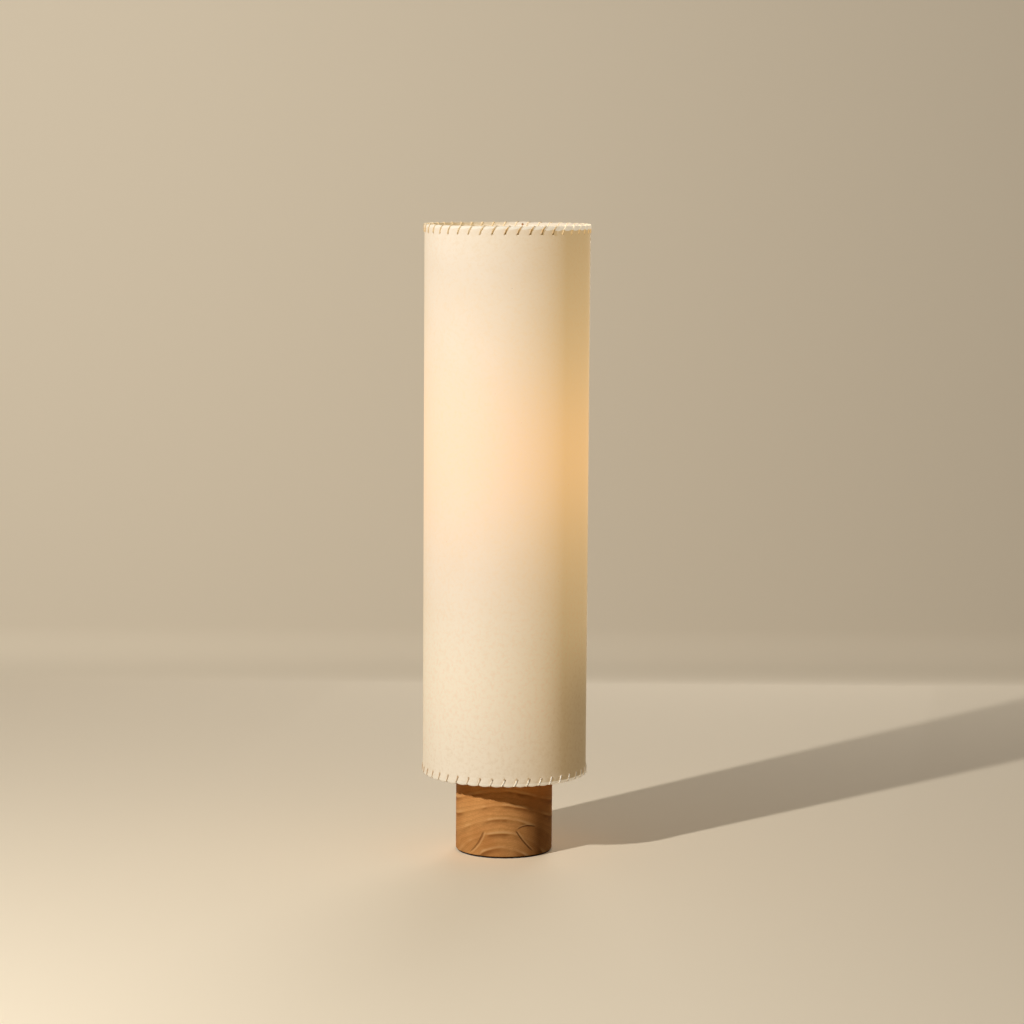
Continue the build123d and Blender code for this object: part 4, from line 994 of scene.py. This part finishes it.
def threadedCap():
    # a closed profile: the foot, up the thread, round the skirt's edge and down the inner side
    c = capThread
    outer = threadRows(c)
    inner = outer[::-1] - [thread["wall"], 0.0, 0.0]
    skirtInner = c["skirt"] - thread["wall"]
    start = [(0, c["foot"], 0), (c["footRadius"], c["foot"], 0), (c["radius"] - 0.4, c["low"] - 0.9, 0)]
    skirt = [(c["skirt"], c["high"] + 0.8, 0), (c["skirt"], c["top"], 0)]
    skirt += [(skirtInner, c["top"], 0), (skirtInner, c["high"] + 1.0, 0)]
    end = [(c["footRadius"], c["foot"] + 1.2, 0), (0, c["foot"] + 1.2, 0)]
    return threaded("bulbCap", np.concatenate([start, outer, skirt, inner, end]), c["depth"])


def threadedShell():
    # a closed profile: the floor round its hole, up the thread inside, over the lip and down the outside
    c = shellThread
    inner = threadRows(c)
    outer = inner[::-1] + [thread["wall"], 0.0, 0.0]
    bottom, lip = c["foot"] + thread["wall"], c["radius"] + 0.1
    start = [(c["hole"], bottom, 0), (c["radius"] - 0.4, bottom, 0)]
    rim = [(lip, c["top"], 0), (lip + thread["wall"], c["top"], 0)]
    end = [(c["radius"] + thread["wall"], c["foot"] + 0.3, 0)]
    end += [(c["radius"], c["foot"], 0), (c["hole"], c["foot"], 0)]
    return threaded("threadShell", np.concatenate([start, inner, rim, outer, end]), c["depth"])


addPiece("bulbCap", threadedCap(), finishes["bulbNickel"], "bulb", ["bulb_cap"])
shellFinish = finishes["thinAluminium"]
addPiece("threadShell", threadedShell(), shellFinish, "base", ["thread_shell"])
print("threads rolled")

# CAD nodes that stay, and the finish of each
felt = {"colour": (46, 34, 26), "second": (70, 54, 42), "bump": (0.6, 0.0006)}
opal = {
    "colour": (246, 240, 228), "cloud": (236, 228, 210), "glow": (1.0, 0.86, 0.62, 1.0),
    "strength": 0.8, "rough": 0.4, "crown": (0.742, 0.768, 0.55, 1.0),
}


def feltFinish():
    made = Finish("felt", {"Specular IOR Level": 0.2, "Roughness": 0.95})
    fuzz, cloud = made.noise(900.0, 4.0, 0.7), made.noise(90.0, 3.0, 0.5)
    fuzzy, clouded = made.ease(fuzz, 0.35, 0.7), made.ease(cloud, 0.5, 0.7, 0.0, 0.3)
    base = made.layered(felt["colour"], [(fuzzy, felt["second"]), (clouded, felt["colour"])])
    return made.paint(base=base, normal=made.bump(fuzz, *felt["bump"]))


def opalFinish():
    # light is brightest over the crown and fades to the rim
    made = Finish("opalPlastic", {"Roughness": opal["rough"], "Emission Strength": opal["strength"]})
    z = made.parts(made.place())[2]
    cloud = made.noise(60.0, 2.0, 0.5)
    glow = made.blend(made.ease(z, *opal["crown"]), black, opal["glow"])
    return made.paint(base=made.layered(opal["colour"], [(cloud * 0.3, opal["cloud"])]), glow=glow)


finishes["felt"] = feltFinish()
finishes["opalPlastic"] = opalFinish()
nodeFinish = {
    "felt": ["felt_pad"],
    "steelPlate": ["bottom_cover"],
    "castIron": ["ballast_weight"],
    "zincSteel": [
        "cover_screws", "terminal_screws", "fixing_screw", "rod_washer", "rod_nut", "lamp_pipe", "set_screw",
        "holder_screws", "saddle_nut",
    ],
    "blackPlastic": ["cord_bush"],
    "whitePlastic": ["terminal_block", "bulb_body", "bulb_driver"],
    "agedBrass": [
        "check_ring", "pole_sleeve", "neck_ring", "harp_saddle", "holder_cap", "holder_shell", "harp_wire",
        "harp_hub", "ferrule_left", "ferrule_right", "finial", "finial_washer",
    ],
    "leadBrown": ["lead_live"],
    "leadBlue": ["lead_neutral"],
    "linerPaper": ["holder_liner"],
    "darkResin": ["holder_core"],
    "contactBrass": ["centre_contact"],
    "bulbNickel": ["bulb_tip"],
    "blackGlass": ["bulb_glass_foot"],
    "opalPlastic": ["bulb_dome"],
    "boardWhite": ["bulb_board"],
    "chipYellow": ["bulb_chips"],
    "frameWhite": ["top_ring", "bottom_ring", "frame_ribs", "hub_washer", "spider_arms"],
}
for name, nodes in nodeFinish.items():
    for node in nodes:
        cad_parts[node].data.materials.clear()
        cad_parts[node].data.materials.append(finishes[name].material)
print("CAD nodes finished:", sum(len(nodes) for nodes in nodeFinish.values()))
